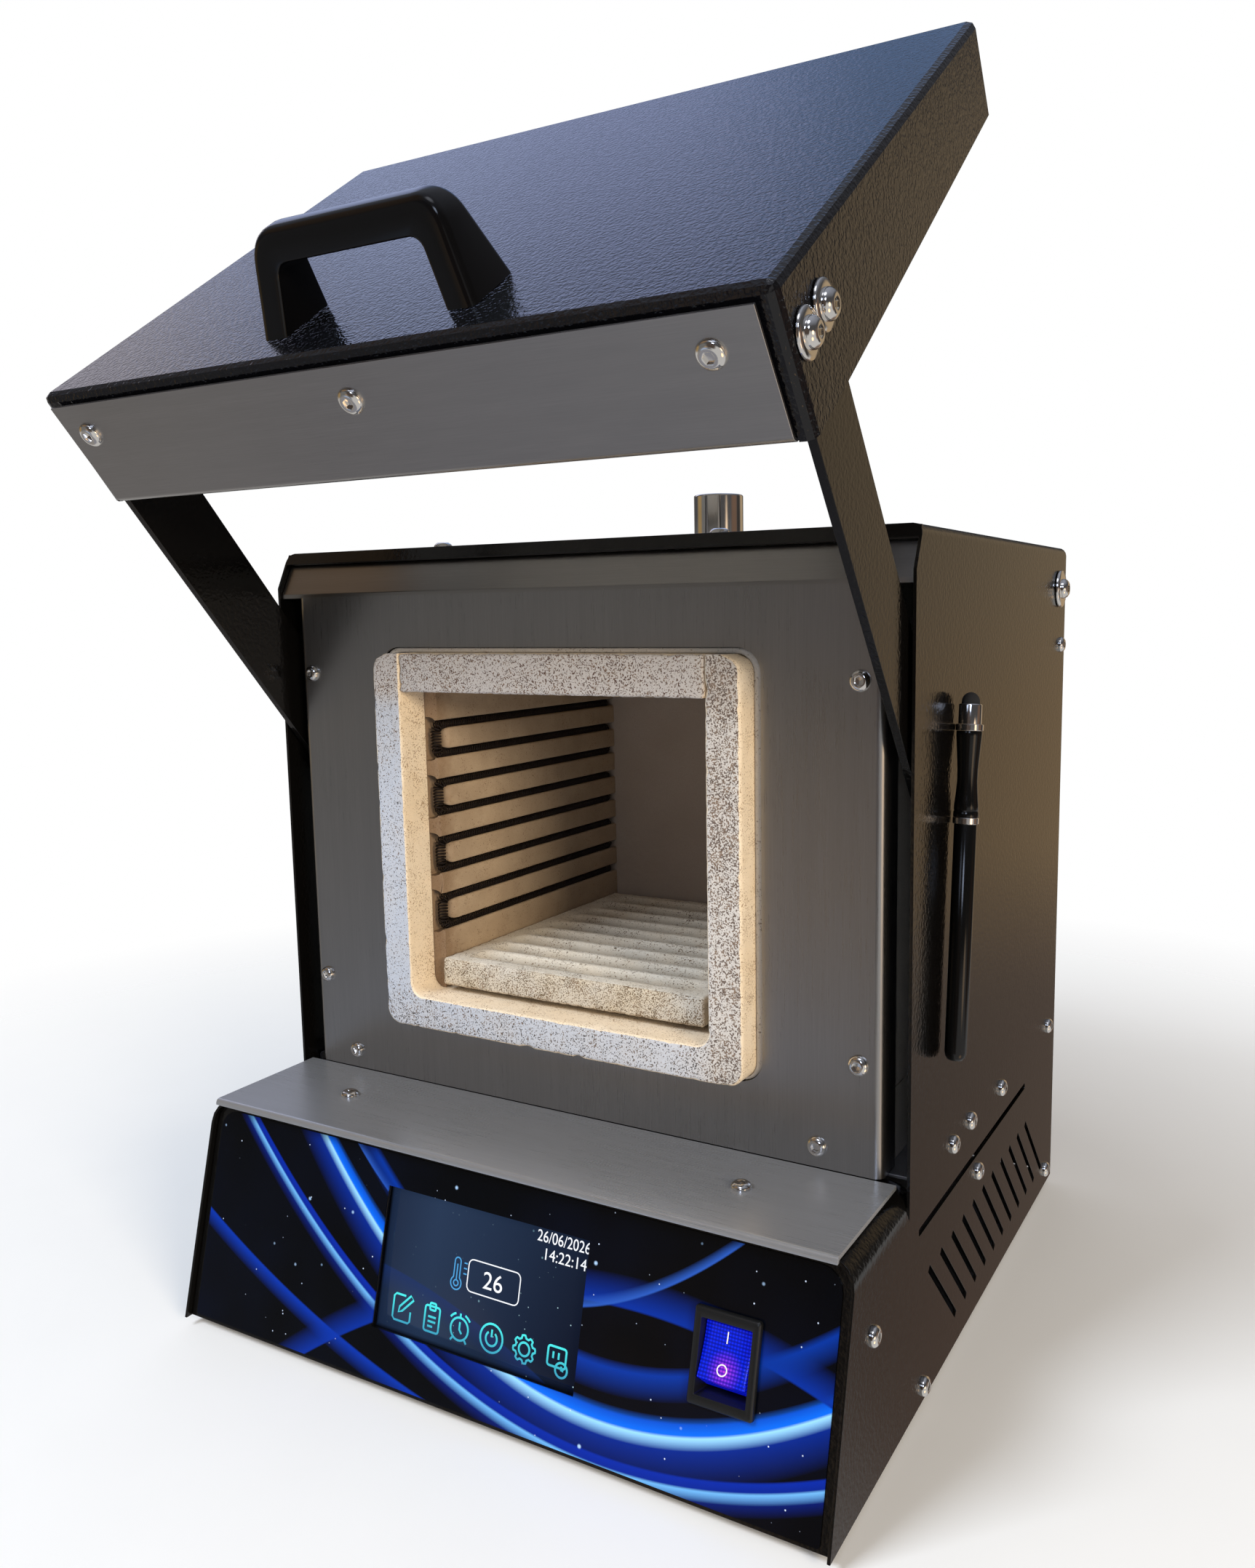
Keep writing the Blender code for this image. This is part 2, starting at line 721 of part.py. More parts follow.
def slot_row(count, pitch, length, width, middle, level, depth, axis):
    """Boxes for a row of upright or lengthwise slots."""
    result = []
    for i in range(count):
        x = (i - (count - 1) / 2) * pitch
        if axis == "Y":
            result.append(
                ((x - width / 2, depth[0], level - length / 2), (x + width / 2, depth[1], level + length / 2))
            )
        else:
            result.append(
                ((x - width / 2, middle - length / 2, depth[0]), (x + width / 2, middle + length / 2, depth[1]))
            )
    return result


def make_rear_panel():
    rear = CASE_DEPTH - REAR_RECESS
    side = INSIDE - GAP
    top = CASE_HEIGHT - SHEET - GAP
    low = BASE_LIFT + BASE_SHEET + GAP
    bend = TOP_BEND - SHEET
    outline = fillet([(-side, low), (-side, top), (side, top), (side, low)], [0.0, bend, bend, 0.0])
    panel = prism("rear_panel", outline, (rear - SHEET, rear), "Y", "black_paint")
    depth = (rear - OVERRUN, rear + OVERRUN)
    rows = []
    for level in (REAR_LOW_SLOT_Z, REAR_HIGH_SLOT_Z):
        rows += slot_row(
            REAR_SLOT_COUNT, REAR_SLOT_PITCH, REAR_SLOT_LENGTH, REAR_SLOT_WIDTH, 0.0, level, depth, "Y"
        )
    hole = ring((GLAND_X, GLAND_Z), GLAND_THREAD + GLAND_CLEARANCE, SMALL_STEPS)
    cut(panel, boxes("rear_slot_cutter", rows), prism("gland_cutter", hole, depth, "Y"))


def make_base_plate():
    side = INSIDE - GAP
    low = BASE_LIFT
    path = [(side, low + BASE_FLANGE), (side, low), (-side, low), (-side, low + BASE_FLANGE)]
    front = console_y(BASE_LIFT + BASE_FLANGE) + (PANEL_RECESS + SHEET) / LEAN_COS + GAP
    rear = CASE_DEPTH - REAR_RECESS - SHEET - GAP
    outline = folded(path, BASE_SHEET, 2 * BASE_SHEET)
    plate = prism("base_plate", outline, (front, rear), "Y", "galvanised")
    depth = (low - OVERRUN, low + BASE_SHEET + GAP)
    slots = slot_row(
        BASE_SLOT_COUNT, BASE_SLOT_PITCH, BASE_SLOT_LENGTH, BASE_SLOT_WIDTH, BASE_SLOT_Y, 0.0, depth, "Z"
    )
    cut(plate, boxes("base_slot_cutter", slots))


def make_feet():
    depth_front = -CONSOLE_REACH + FOOT_INSET_Y
    depth_rear = CASE_DEPTH - FOOT_INSET_Y
    profile = [
        (FOOT_RADIUS, -FOOT_SHOW),
        (FOOT_RADIUS + FOOT_FLARE, 0.0),
        (FOOT_RADIUS + FOOT_FLARE, BASE_LIFT - GAP),
    ]
    for side, x in (("left", -HALF + FOOT_INSET_X), ("right", HALF - FOOT_INSET_X)):
        for end, y in (("front", depth_front), ("rear", depth_rear)):
            turned(f"foot_{end}_{side}", profile, (x, y, 0.0), "Z", "rubber", steps=SMALL_STEPS)


def make_inner_floor():
    """The steel floor between the chamber's bay and the power parts, with its side flanges."""
    side = INSIDE - GAP
    path = inverted_u(side, FLOOR_TOP, FLOOR_TOP - FLOOR_FLANGE)
    rear = CASE_DEPTH - REAR_RECESS - SHEET - GAP
    prism("inner_floor", folded(path, SHEET, 2 * SHEET), (FLOOR_START, rear), "Y", "galvanised")


# The stainless front
def shelf_top():
    return CONSOLE_HEIGHT + GAP + SHELF_SHEET


def make_shelf():
    top = shelf_top()
    path = [(-SHELF_FRONT, top - SHELF_LIP), (-SHELF_FRONT, top), (FASCIA_SET_BACK - GAP, top)]
    outline = folded(path, SHELF_SHEET, SHELF_BEND)
    half = SHELF_WIDTH / 2
    prism("shelf", outline, (-half, half), "X", "stainless")


def make_fascia():
    low = shelf_top() + GAP
    front = FASCIA_SET_BACK
    half = FASCIA_WIDTH / 2
    wide = INSIDE - GAP
    lean = FASCIA_BROW_LEAN
    brow_end = (front + FASCIA_BROW * math.sin(lean), FASCIA_FOLD + FASCIA_BROW * math.cos(lean))
    path = [(front, low), (front, FASCIA_FOLD), brow_end]
    fascia = prism("fascia", folded(path, SHEET, SHEET), (-wide, wide), "X", "stainless")
    slot_low = (half, -OVERRUN, low - OVERRUN)
    slot_high = (wide + OVERRUN, OVERRUN, FASCIA_FOLD)
    left_low = (-slot_high[0], slot_low[1], slot_low[2])
    left_high = (-half, slot_high[1], slot_high[2])
    cut(fascia, boxes("arm_slot_cutter", [(slot_low, slot_high), (left_low, left_high)]))
    back = front + FASCIA_RETURN
    high = FASCIA_FOLD - SHEET
    returns = [
        ((side * half - (SHEET if side > 0 else 0.0), front + SHEET / 2, low),
         (side * half + (SHEET if side < 0 else 0.0), back, high))
        for side in (-1, 1)
    ]
    unite(fascia, boxes("fascia_returns", returns))
    window = rectangle((-WINDOW_WIDTH / 2, WINDOW_LOW), (WINDOW_WIDTH / 2, WINDOW_HIGH), WINDOW_CORNER)
    cut(fascia, prism("window_cutter", window, (-OVERRUN, OVERRUN), "Y"))


def make_gasket():
    """The thin frame between the fascia's window and the muffle, open at the bottom."""
    start = FASCIA_SET_BACK + GASKET_SET_BACK
    outer_half = WINDOW_WIDTH / 2 - GAP
    inner_half = MUFFLE_WIDTH / 2 + GAP
    high = WINDOW_HIGH - GAP
    inner_high = MUFFLE_HIGH + GAP
    low = MUFFLE_LOW + MUFFLE_CORNER
    outer = fillet([(-outer_half, low), (-outer_half, high), (outer_half, high), (outer_half, low)],
                   WINDOW_CORNER, CORNER_STEPS, False)
    inner = fillet([(-inner_half, low), (-inner_half, inner_high), (inner_half, inner_high), (inner_half, low)],
                   MUFFLE_CORNER, CORNER_STEPS, False)
    prism("window_gasket", outer + inner[::-1], (start, start + GASKET_DEPTH), "Y", "gasket")


# The muffle
def make_muffle_shell():
    outer = MUFFLE_WIDTH / 2
    inner = CHAMBER_WIDTH / 2
    chamfer = CHAMBER_CHAMFER
    corners = [
        (-inner, MUFFLE_HIGH), (-inner, CHAMBER_LOW + chamfer), (-inner + chamfer, CHAMBER_LOW),
        (inner - chamfer, CHAMBER_LOW), (inner, CHAMBER_LOW + chamfer), (inner, MUFFLE_HIGH),
        (outer, MUFFLE_HIGH), (outer, MUFFLE_LOW), (-outer, MUFFLE_LOW), (-outer, MUFFLE_HIGH),
    ]
    radii = [0.0] * 6 + [MUFFLE_CORNER] * 4
    outline = fillet(corners, radii, CORNER_STEPS)
    rear = CHAMBER_END - GAP
    shell = prism("muffle_shell", outline, (-MUFFLE_PROUD, rear), "Y", "ceramic")
    recess = PLATE_OUTER + GAP
    pockets = [
        ((-recess, PLATE_STEP_Y, CHAMBER_LOW), (-inner + chamfer, rear + OVERRUN, CHAMBER_HIGH)),
        ((inner - chamfer, PLATE_STEP_Y, CHAMBER_LOW), (recess, rear + OVERRUN, CHAMBER_HIGH)),
    ]
    cut(shell, boxes("plate_recess_cutter", pockets))


def make_muffle_roof():
    half = CHAMBER_WIDTH / 2 - GAP
    low = (-half, -MUFFLE_PROUD, CHAMBER_HIGH)
    high = (half, CHAMBER_END - GAP, MUFFLE_HIGH)
    roof = box("muffle_roof", low, high, "ceramic")
    flue = ring((0.0, FLUE_Y), FLUE_RADIUS, SMALL_STEPS)
    cut(roof, prism("flue_cutter", flue, (CHAMBER_HIGH - OVERRUN, MUFFLE_HIGH + OVERRUN), "Z"))


def probe_hole(name, span):
    return prism(name, ring((PROBE_X, PROBE_Z), PROBE_RADIUS + GAP, SMALL_STEPS), span, "Y")


def make_rear_wall():
    half = MUFFLE_WIDTH / 2
    end = CHAMBER_END + REAR_WALL
    wall = box("muffle_rear_wall", (-half, CHAMBER_END, MUFFLE_LOW), (half, end, MUFFLE_HIGH), "ceramic")
    cut(wall, probe_hole("wall_probe_cutter", (CHAMBER_END - OVERRUN, end + OVERRUN)))


def run_levels():
    return [RUN_TOP_Z - i * RUN_PITCH for i in range(RUN_COUNT)]


def groove_axis():
    return PLATE_INNER + GROOVE_DEPTH


def groove_outline(side, level):
    """A bore with a narrower mouth towards the chamber."""
    centre = groove_axis()
    opening = math.asin(GROOVE_MOUTH / 2 / GROOVE_BORE)
    start = -math.pi + opening
    sweep = 2 * (math.pi - opening)
    arc = [start + sweep * k / BORE_STEPS for k in range(BORE_STEPS + 1)]
    points = [(centre + GROOVE_BORE * math.cos(a), level + GROOVE_BORE * math.sin(a)) for a in arc]
    mouth = PLATE_INNER - OVERRUN
    points = [(mouth, level - GROOVE_MOUTH / 2)] + points + [(mouth, level + GROOVE_MOUTH / 2)]
    return [(side * x, z) for x, z in points]


def turn_pockets(side):
    """Boxes where the coil turns from one run to the next, in turn at the front and the rear."""
    levels = run_levels()
    deep = groove_axis() + GROOVE_BORE
    result = []
    for i in range(RUN_COUNT - 1):
        ends = (PLATE_STEP_Y - OVERRUN, PLATE_STEP_Y + LAND_INSET)
        if i % 2:
            ends = (CHAMBER_END - LAND_INSET, CHAMBER_END + OVERRUN)
        xs = sorted((side * (PLATE_INNER - OVERRUN), side * deep))
        low = (xs[0], ends[0], levels[i + 1] - GROOVE_BORE)
        result.append((low, (xs[1], ends[1], levels[i] + GROOVE_BORE)))
    return result


def make_heater_plate(name, side):
    xs = sorted((side * PLATE_INNER, side * PLATE_OUTER))
    low = (xs[0], PLATE_STEP_Y + GAP, CHAMBER_LOW + GAP)
    high = (xs[1], CHAMBER_END - GAP, CHAMBER_HIGH - GAP)
    plate = box(name, low, high, "ceramic")
    maker = bmesh.new()
    for level in run_levels():
        extrude_outline(maker, groove_outline(side, level), (-OVERRUN, CHAMBER_END + OVERRUN), "Y")
    grooves = add_object(f"{name}_grooves", maker, None, ROOT)
    front = [pocket for i, pocket in enumerate(turn_pockets(side)) if i % 2 == 0]
    rear = [pocket for i, pocket in enumerate(turn_pockets(side)) if i % 2]
    cut(plate, grooves, boxes(f"{name}_turns_front", front), boxes(f"{name}_turns_rear", rear))
    return plate


def coil_path(side):
    """The coil's centre line through all runs, as points along straight runs and small corner arcs."""
    near = PLATE_STEP_Y + GAP + COIL_TURN_INSET
    far = CHAMBER_END - GAP - COIL_TURN_INSET
    corners = []
    for i, level in enumerate(run_levels()):
        ends = (far, near) if i % 2 == 0 else (near, far)
        corners += [(ends[0], level), (ends[1], level)]
    path = fillet(corners, COIL_TURN_RADIUS, BEND_STEPS, False)
    return [Vector((side * groove_axis(), y, z)) for y, z in path]


def along(points, distance):
    """The point and direction at this distance along the path."""
    for start, end in zip(points, points[1:]):
        length = (end - start).length
        if distance <= length or end is points[-1]:
            return start + (end - start).normalized() * distance, (end - start).normalized()
        distance -= length


def helix_points(side):
    """A helix round the coil's path, with its ends running straight."""
    path = coil_path(side)
    total = sum((b - a).length for a, b in zip(path, path[1:]))
    curls = RUN_COUNT * CURLS_PER_RUN
    count = curls * CURL_POINTS
    across = Vector((1.0, 0.0, 0.0))
    points = []
    for k in range(count + 1):
        centre, ahead = along(path, total * k / count)
        angle = 2 * math.pi * k / CURL_POINTS
        up = ahead.cross(across)
        points.append(centre + (across * math.cos(angle) + up * math.sin(angle)) * COIL_RADIUS)
    return points


def least_gap(points, radius):
    """The least gap between parts of the tube that lie more than half a curl apart."""
    apart = CURL_POINTS // 2 + 1
    least = min(
        (a - b).length
        for i, a in enumerate(points)
        for b in points[i + apart:i + apart * 2 * RUN_COUNT]
    )
    return least - 2 * radius


def tube(name, points, radius, look, resolution):
    curve = bpy.data.curves.new(name, "CURVE")
    curve.dimensions = "3D"
    curve.bevel_depth = radius * MM
    curve.bevel_resolution = resolution
    curve.use_fill_caps = True
    spline = curve.splines.new("POLY")
    spline.points.add(len(points) - 1)
    for target, point in zip(spline.points, points):
        target.co = (*(point * MM), 1.0)
    curve.materials.append(material(look))
    made = bpy.data.objects.new(name, curve)
    made.parent = ROOT
    bpy.context.scene.collection.objects.link(made)
    return made


def make_coils():
    points = helix_points(-1)
    gap = least_gap(points, WIRE_RADIUS)
    print(f"left coil: least gap to itself {gap:.2f} mm, over {LEAST_COIL_GAP}")
    tube("heating_coil_left", points, WIRE_RADIUS, "wire", 1)
    tube("heating_coil_right", coil_path(1), COIL_RADIUS + WIRE_RADIUS, "wire", 1)


# What lies round the muffle
def make_insulation():
    side = MUFFLE_WIDTH / 2 + GAP
    half = BLANKET_HALF
    front, end = BLANKET_START, CHAMBER_END + REAR_WALL
    far = end + GAP + BLANKET_REAR
    low, top = FLOOR_TOP + GAP, MUFFLE_HIGH + GAP + BLANKET_ROOF
    base, roof = MUFFLE_LOW - GAP, MUFFLE_HIGH + GAP
    box("insulation_floor", (-half, front, low), (half, far, base), "fibre")
    box("insulation_left", (-half, front, MUFFLE_LOW), (-side, far, MUFFLE_HIGH), "fibre")
    box("insulation_right", (side, front, MUFFLE_LOW), (half, far, MUFFLE_HIGH), "fibre")
    rear = box("insulation_rear", (GAP - side, end + GAP, MUFFLE_LOW), (side - GAP, far, MUFFLE_HIGH), "fibre")
    cut(rear, probe_hole("blanket_probe_cutter", (end - OVERRUN, far + OVERRUN)))
    roof_front = front + BLANKET_ROOF_STEP
    board = box("insulation_roof", (-half, roof_front, roof), (half, far, top), "fibre")
    hole = ring((0.0, FLUE_Y), CHIMNEY_RADIUS + CHIMNEY_CLEARANCE, ROUND_STEPS)
    cut(board, prism("blanket_flue_cutter", hole, (roof - OVERRUN, top + OVERRUN), "Z"))


def make_chimney():
    foot = MUFFLE_HIGH + GAP
    top = CASE_HEIGHT + CHIMNEY_SHOW
    outer, bore, chamfer = CHIMNEY_RADIUS, CHIMNEY_BORE, CHIMNEY_CHAMFER
    profile = [(outer, foot), (outer, top - chamfer), (outer - chamfer, top), (0.0, top)]
    tube_body = turned("chimney", [(0.0, foot)] + profile, (0.0, FLUE_Y, 0.0), "Z", "chrome")
    hole = prism("chimney_bore", ring((0.0, FLUE_Y), bore, ROUND_STEPS), (foot - OVERRUN, top + OVERRUN), "Z")
    cut(tube_body, hole)


def make_thermocouple():
    start = CHAMBER_END - PROBE_REACH
    seat = CHAMBER_END + REAR_WALL + GAP + BLANKET_REAR + GAP
    profile = [
        (0.0, start), (PROBE_RADIUS / 2, start), (PROBE_RADIUS, start + PROBE_RADIUS / 2),
        (PROBE_RADIUS, seat), (PROBE_HEAD_RADIUS, seat), (PROBE_HEAD_RADIUS, seat + PROBE_HEAD),
        (0.0, seat + PROBE_HEAD),
    ]
    turned("thermocouple", profile, (PROBE_X, 0.0, PROBE_Z), "Y", "ceramic", steps=SMALL_STEPS)


def make_tray():
    half = TRAY_WIDTH / 2
    low = CHAMBER_LOW + GAP + TRAY_FOOT
    top = low + TRAY_THICKNESS
    end = TRAY_FRONT + TRAY_DEPTH
    plan = rectangle((-half, TRAY_FRONT), (half, end), TRAY_CORNER, 2)
    tray = prism("tray", plan, (low, top), "Z", "ceramic")
    start = TRAY_FRONT + TRAY_BORDER
    pitch = (TRAY_DEPTH - 2 * TRAY_BORDER + RIB_CREST) / RIB_COUNT
    width = pitch - RIB_CREST
    maker = bmesh.new()
    for i in range(RIB_COUNT):
        left = start + i * pitch
        valley = [(left + width * s, top - RIB_VALLEY * d) for s, d in RIB_VALLEY_SHARES]
        outline = valley + [(left + width, top + OVERRUN), (left, top + OVERRUN)]
        extrude_outline(maker, outline, (TRAY_BORDER - half, half - TRAY_BORDER), "X")
    valleys = add_object("tray_valleys", maker, None, ROOT)
    inset = 2 * TRAY_FOOT_WIDTH
    floor = low - TRAY_FOOT
    feet = [
        ((side * (half - inset) - TRAY_FOOT_WIDTH / 2, TRAY_FRONT + inset, floor),
         (side * (half - inset) + TRAY_FOOT_WIDTH / 2, end - inset, low + TRAY_FOOT))
        for side in (-1, 1)
    ]
    unite(cut(tray, valleys), boxes("tray_feet", feet))


# The console's pieces, drawn in its leaning plane: x across, y inward, z up the slope
def screen_outline(margin=0.0):
    half = SCREEN_WIDTH / 2 + margin
    return rectangle((-half, SCREEN_LOW - margin), (half, SCREEN_HIGH + margin))


def switch_outline(width, height, corner=0.0):
    low = (SWITCH_X - width / 2, SWITCH_UP - height / 2)
    return rectangle(low, (SWITCH_X + width / 2, SWITCH_UP + height / 2), corner, 2)


def make_console_panel():
    side = INSIDE - GAP
    low = GAP
    high = (CONSOLE_HEIGHT - SHEET - GAP) / LEAN_COS
    corner = SHOULDER_BEND - SHEET
    outline = fillet([(-side, low), (-side, high), (side, high), (side, low)], [0.0, corner, corner, 0.0])
    panel = prism("console_panel", outline, (0.0, SHEET), "Y", "black_paint", CONSOLE)
    through = (-OVERRUN, OVERRUN)
    opening = switch_outline(SWITCH_BODY_WIDTH + 2 * GAP, SWITCH_BODY_HEIGHT + 2 * GAP)
    cut(
        panel,
        prism("panel_screen_cutter", screen_outline(), through, "Y", None, CONSOLE),
        prism("panel_switch_cutter", opening, through, "Y", None, CONSOLE),
    )


def make_film():
    half = FILM_WIDTH / 2
    corners = [(-half, FILM_LOW), (-half, FILM_HIGH), (half, FILM_HIGH), (half, FILM_LOW)]
    low, high = FILM_LOW_CORNER, FILM_TOP_CORNER
    outline = fillet(corners, [low, high, high, low])
    film = prism("overlay_film", outline, (-GLUE - FILM, -GLUE), "Y", "film", CONSOLE)
    through = (-OVERRUN, OVERRUN)
    opening = switch_outline(SWITCH_BODY_WIDTH + 4 * GAP, SWITCH_BODY_HEIGHT + 4 * GAP)
    cut(
        film,
        prism("film_screen_cutter", screen_outline(), through, "Y", None, CONSOLE),
        prism("film_switch_cutter", opening, through, "Y", None, CONSOLE),
    )


def make_screen():
    glass = SCREEN_RECESS - FILM - GLUE
    body = prism("lcd_module", screen_outline(SCREEN_RIM), (SHEET + GAP, glass + SCREEN_BODY), "Y",
                 "screen", CONSOLE)
    window = screen_outline(SCREEN_RIM_DEPTH)
    cut(body, prism("glass_cutter", window, (-OVERRUN, glass), "Y", None, CONSOLE))


def make_controller():
    start = SCREEN_RECESS - FILM - GLUE + SCREEN_BODY + GAP
    half = BOARD_WIDTH / 2
    low, high = SCREEN_LOW - BOARD_MARGIN, SCREEN_HIGH + BOARD_MARGIN
    end = start + BOARD_THICKNESS
    board = box("controller_board", (-half, start, low), (half, end, high), "board", CONSOLE)
    chip, inner = CHIP_SIZE, end - BOARD_THICKNESS / 2
    plug_low = low + BOARD_MARGIN
    parts = [
        ((-chip / 2, inner, SWITCH_UP - chip / 2), (chip / 2, end + CHIP_HEIGHT, SWITCH_UP + chip / 2)),
        ((half - 2 * PLUG_WIDTH, inner, plug_low), (half - PLUG_WIDTH, end + PLUG_HEIGHT, plug_low + PLUG_HEIGHT)),
        ((PLUG_WIDTH - half, inner, plug_low), (2 * PLUG_WIDTH - half, end + PLUG_HEIGHT, plug_low + PLUG_HEIGHT)),
    ]
    unite(board, boxes("board_parts", parts, None, CONSOLE))


def make_switch_frame():
    face = GLUE + FILM + GLUE
    bezel = switch_outline(BEZEL_WIDTH, BEZEL_HEIGHT, BEZEL_CORNER)
    frame = prism("switch_frame", bezel, (-face - BEZEL_PROUD, -face), "Y", "black_plastic", CONSOLE)
    body = switch_outline(SWITCH_BODY_WIDTH, SWITCH_BODY_HEIGHT)
    span = (-face - BEZEL_PROUD / 2, SWITCH_BODY_DEPTH)
    unite(frame, prism("switch_body", body, span, "Y", None, CONSOLE))
    room = switch_outline(ROCKER_ROOM_WIDTH, ROCKER_ROOM_HEIGHT)
    pins = prism(
        "rocker_pin_cutter",
        ring((ROCKER_AXIS_DEPTH, SWITCH_UP), ROCKER_PIN + ROCKER_PIN_GAP, SMALL_STEPS),
        (SWITCH_X - SWITCH_BODY_WIDTH, SWITCH_X + SWITCH_BODY_WIDTH),
        "X",
        None,
        CONSOLE,
    )
    cut(frame, prism("rocker_room", room, (-OVERRUN, ROCKER_ROOM_DEPTH), "Y", None, CONSOLE), pins)


def make_rocker():
    """The rocker in its neutral place, tipped by its empty so that its upper end is pressed in."""
    axis = empty("rocker_axis", (SWITCH_X, ROCKER_AXIS_DEPTH, SWITCH_UP), -ROCKER_TILT, CONSOLE)
    outline = [
        (-ROCKER_REACH, -ROCKER_FACE_HALF), (-ROCKER_REACH, ROCKER_FACE_HALF),
        (-ROCKER_SKIRT_REACH, ROCKER_SKIRT_HALF), (ROCKER_HEEL_REACH, ROCKER_HEEL_HALF),
        (ROCKER_HEEL_REACH, -ROCKER_HEEL_HALF), (-ROCKER_SKIRT_REACH, -ROCKER_SKIRT_HALF),
    ]
    half = ROCKER_ROOM_WIDTH / 2 - ROCKER_SIDE_GAP
    rocker = prism("rocker", outline, (-half, half), "X", "rocker", axis)
    reach = half + ROCKER_SIDE_GAP + ROCKER_PIN_LENGTH
    pin = prism("rocker_pins", ring((0.0, 0.0), ROCKER_PIN, SMALL_STEPS), (-reach, reach), "X", None, axis)
    unite(rocker, pin)


# The power parts in the base
def base_top():
    return BASE_LIFT + BASE_SHEET + GAP


def make_power_supply():
    x, y = SUPPLY_CORNER
    w, d, h = SUPPLY_SIZE
    low = base_top()
    supply = box("power_supply", (x, y, low), (x + w, y + d, low + h), "galvanised")
    step = d / 6
    notch = [((x - OVERRUN, y - OVERRUN, low + h / 2), (x + w + OVERRUN, y + step, low + h + OVERRUN))]
    cut(supply, boxes("supply_notch", notch))


def make_heat_sink():
    x, y = SINK_CORNER
    w, d, h = SINK_SIZE
    low = base_top()
    top = low + h
    pitch = (w - SINK_FIN) / (SINK_FINS - 1)
    outline = [(x + w, top), (x, top)]
    for i in range(SINK_FINS):
        left = x + i * pitch
        outline += [(left, low), (left + SINK_FIN, low)]
        if i < SINK_FINS - 1:
            outline += [(left + SINK_FIN, top - SINK_BASE), (left + pitch, top - SINK_BASE)]
    prism("heat_sink", outline, (y, y + d), "Y", "galvanised")


def make_relay():
    x, y = SINK_CORNER
    w, d, h = RELAY_SIZE
    low = base_top() + SINK_SIZE[2] + GAP
    left = x + (SINK_SIZE[0] - w) / 2
    front = y + (SINK_SIZE[1] - d) / 2
    relay = box("solid_state_relay", (left, front, low), (left + w, front + d, low + h), "black_plastic")
    step = d / 5
    ends = [
        ((left - OVERRUN, front - OVERRUN, low + h / 2), (left + w + OVERRUN, front + step, low + h + OVERRUN)),
        ((left - OVERRUN, front + d - step, low + h / 2), (left + w + OVERRUN, front + d + OVERRUN, low + h + OVERRUN)),
    ]
    cut(relay, boxes("relay_ends", ends))


def make_terminal_block():
    x, y = BLOCK_CORNER
    w, d, h = BLOCK_SIZE
    low = base_top()
    block = box("terminal_block", (x, y, low), (x + w, y + d, low + h), "black_plastic")
    pitch = w / BLOCK_POLES
    notches = []
    for i in range(BLOCK_POLES):
        middle = x + (i + 0.5) * pitch
        notches.append(
            ((middle - BLOCK_HOLE / 2, y - OVERRUN, low + h - BLOCK_NOTCH),
             (middle + BLOCK_HOLE / 2, y + d + OVERRUN, low + h + OVERRUN))
        )
    cut(block, boxes("block_notches", notches))


def make_gland():
    """The cable inlet, screwed through the rear panel."""
    rear = CASE_DEPTH - REAR_RECESS
    inside = rear - SHEET - GAP
    thread, cap = GLAND_THREAD, GLAND_CAP
    flange_end = rear + GAP + GLAND_FLANGE_DEPTH
    profile = [
        (0.0, inside - GLAND_INSIDE), (cap, inside - GLAND_INSIDE), (cap, inside), (thread, inside),
        (thread, rear + GAP), (GLAND_FLANGE, rear + GAP), (GLAND_FLANGE, flange_end),
        (cap, flange_end), (cap, rear + GLAND_SHOW - thread / 2), (thread - GAP, rear + GLAND_SHOW),
        (0.0, rear + GLAND_SHOW),
    ]
    gland = turned("cable_gland", profile, (GLAND_X, 0.0, GLAND_Z), "Y", "black_plastic", steps=SMALL_STEPS)
    bore = prism(
        "gland_bore",
        ring((GLAND_X, GLAND_Z), GLAND_BORE, SMALL_STEPS),
        (inside - GLAND_INSIDE - OVERRUN, rear + GLAND_SHOW + OVERRUN),
        "Y",
    )
    cut(gland, bore)


# Bolts along x, each with its washer and nut
def bolt_profile(parts):
    """Radius and place along x from inside outwards, from (radius, start, end) stretches."""
    points = [(0.0, parts[0][1])]
    for radius, start, end in parts:
        points += [(radius, start), (radius, end)]
    return points


def dome_profile(radius, start, height):
    return [(radius * r, start + height * h) for r, h in HEAD_DOME_SHARES] + [(0.0, start + height)]


def place_bolt(name, profile, side, y, z, parent):
    """Turns the bolt's profile about x. The left one is the right one mirrored."""
    points = profile if side > 0 else [(r, -x) for r, x in profile[::-1]]
    return turned(name, points, (0.0, y, z), "X", "chrome", parent, SMALL_STEPS)


def make_pivot_bolts():
    nut_end = ARM_INNER - GAP
    bush_start = ARM_INNER + ARM_THICKNESS + GAP
    washer = HALF + GAP
    washer_end = washer + PIVOT_WASHER_THICKNESS
    shaft = PIVOT_SHAFT
    parts = [
        (PIVOT_NUT, nut_end - PIVOT_NUT_THICKNESS, nut_end),
        (shaft, nut_end, bush_start),
        (PIVOT_BUSH, bush_start, INSIDE - GAP),
        (shaft, INSIDE - GAP, washer),
        (PIVOT_WASHER, washer, washer_end),
    ]
    profile = bolt_profile(parts) + dome_profile(PIVOT_HEAD, washer_end, PIVOT_HEAD_HEIGHT)
    for name, side in (("pivot_bolt_left", -1), ("pivot_bolt_right", 1)):
        place_bolt(name, profile, side, PIVOT_Y, PIVOT_Z, ROOT)


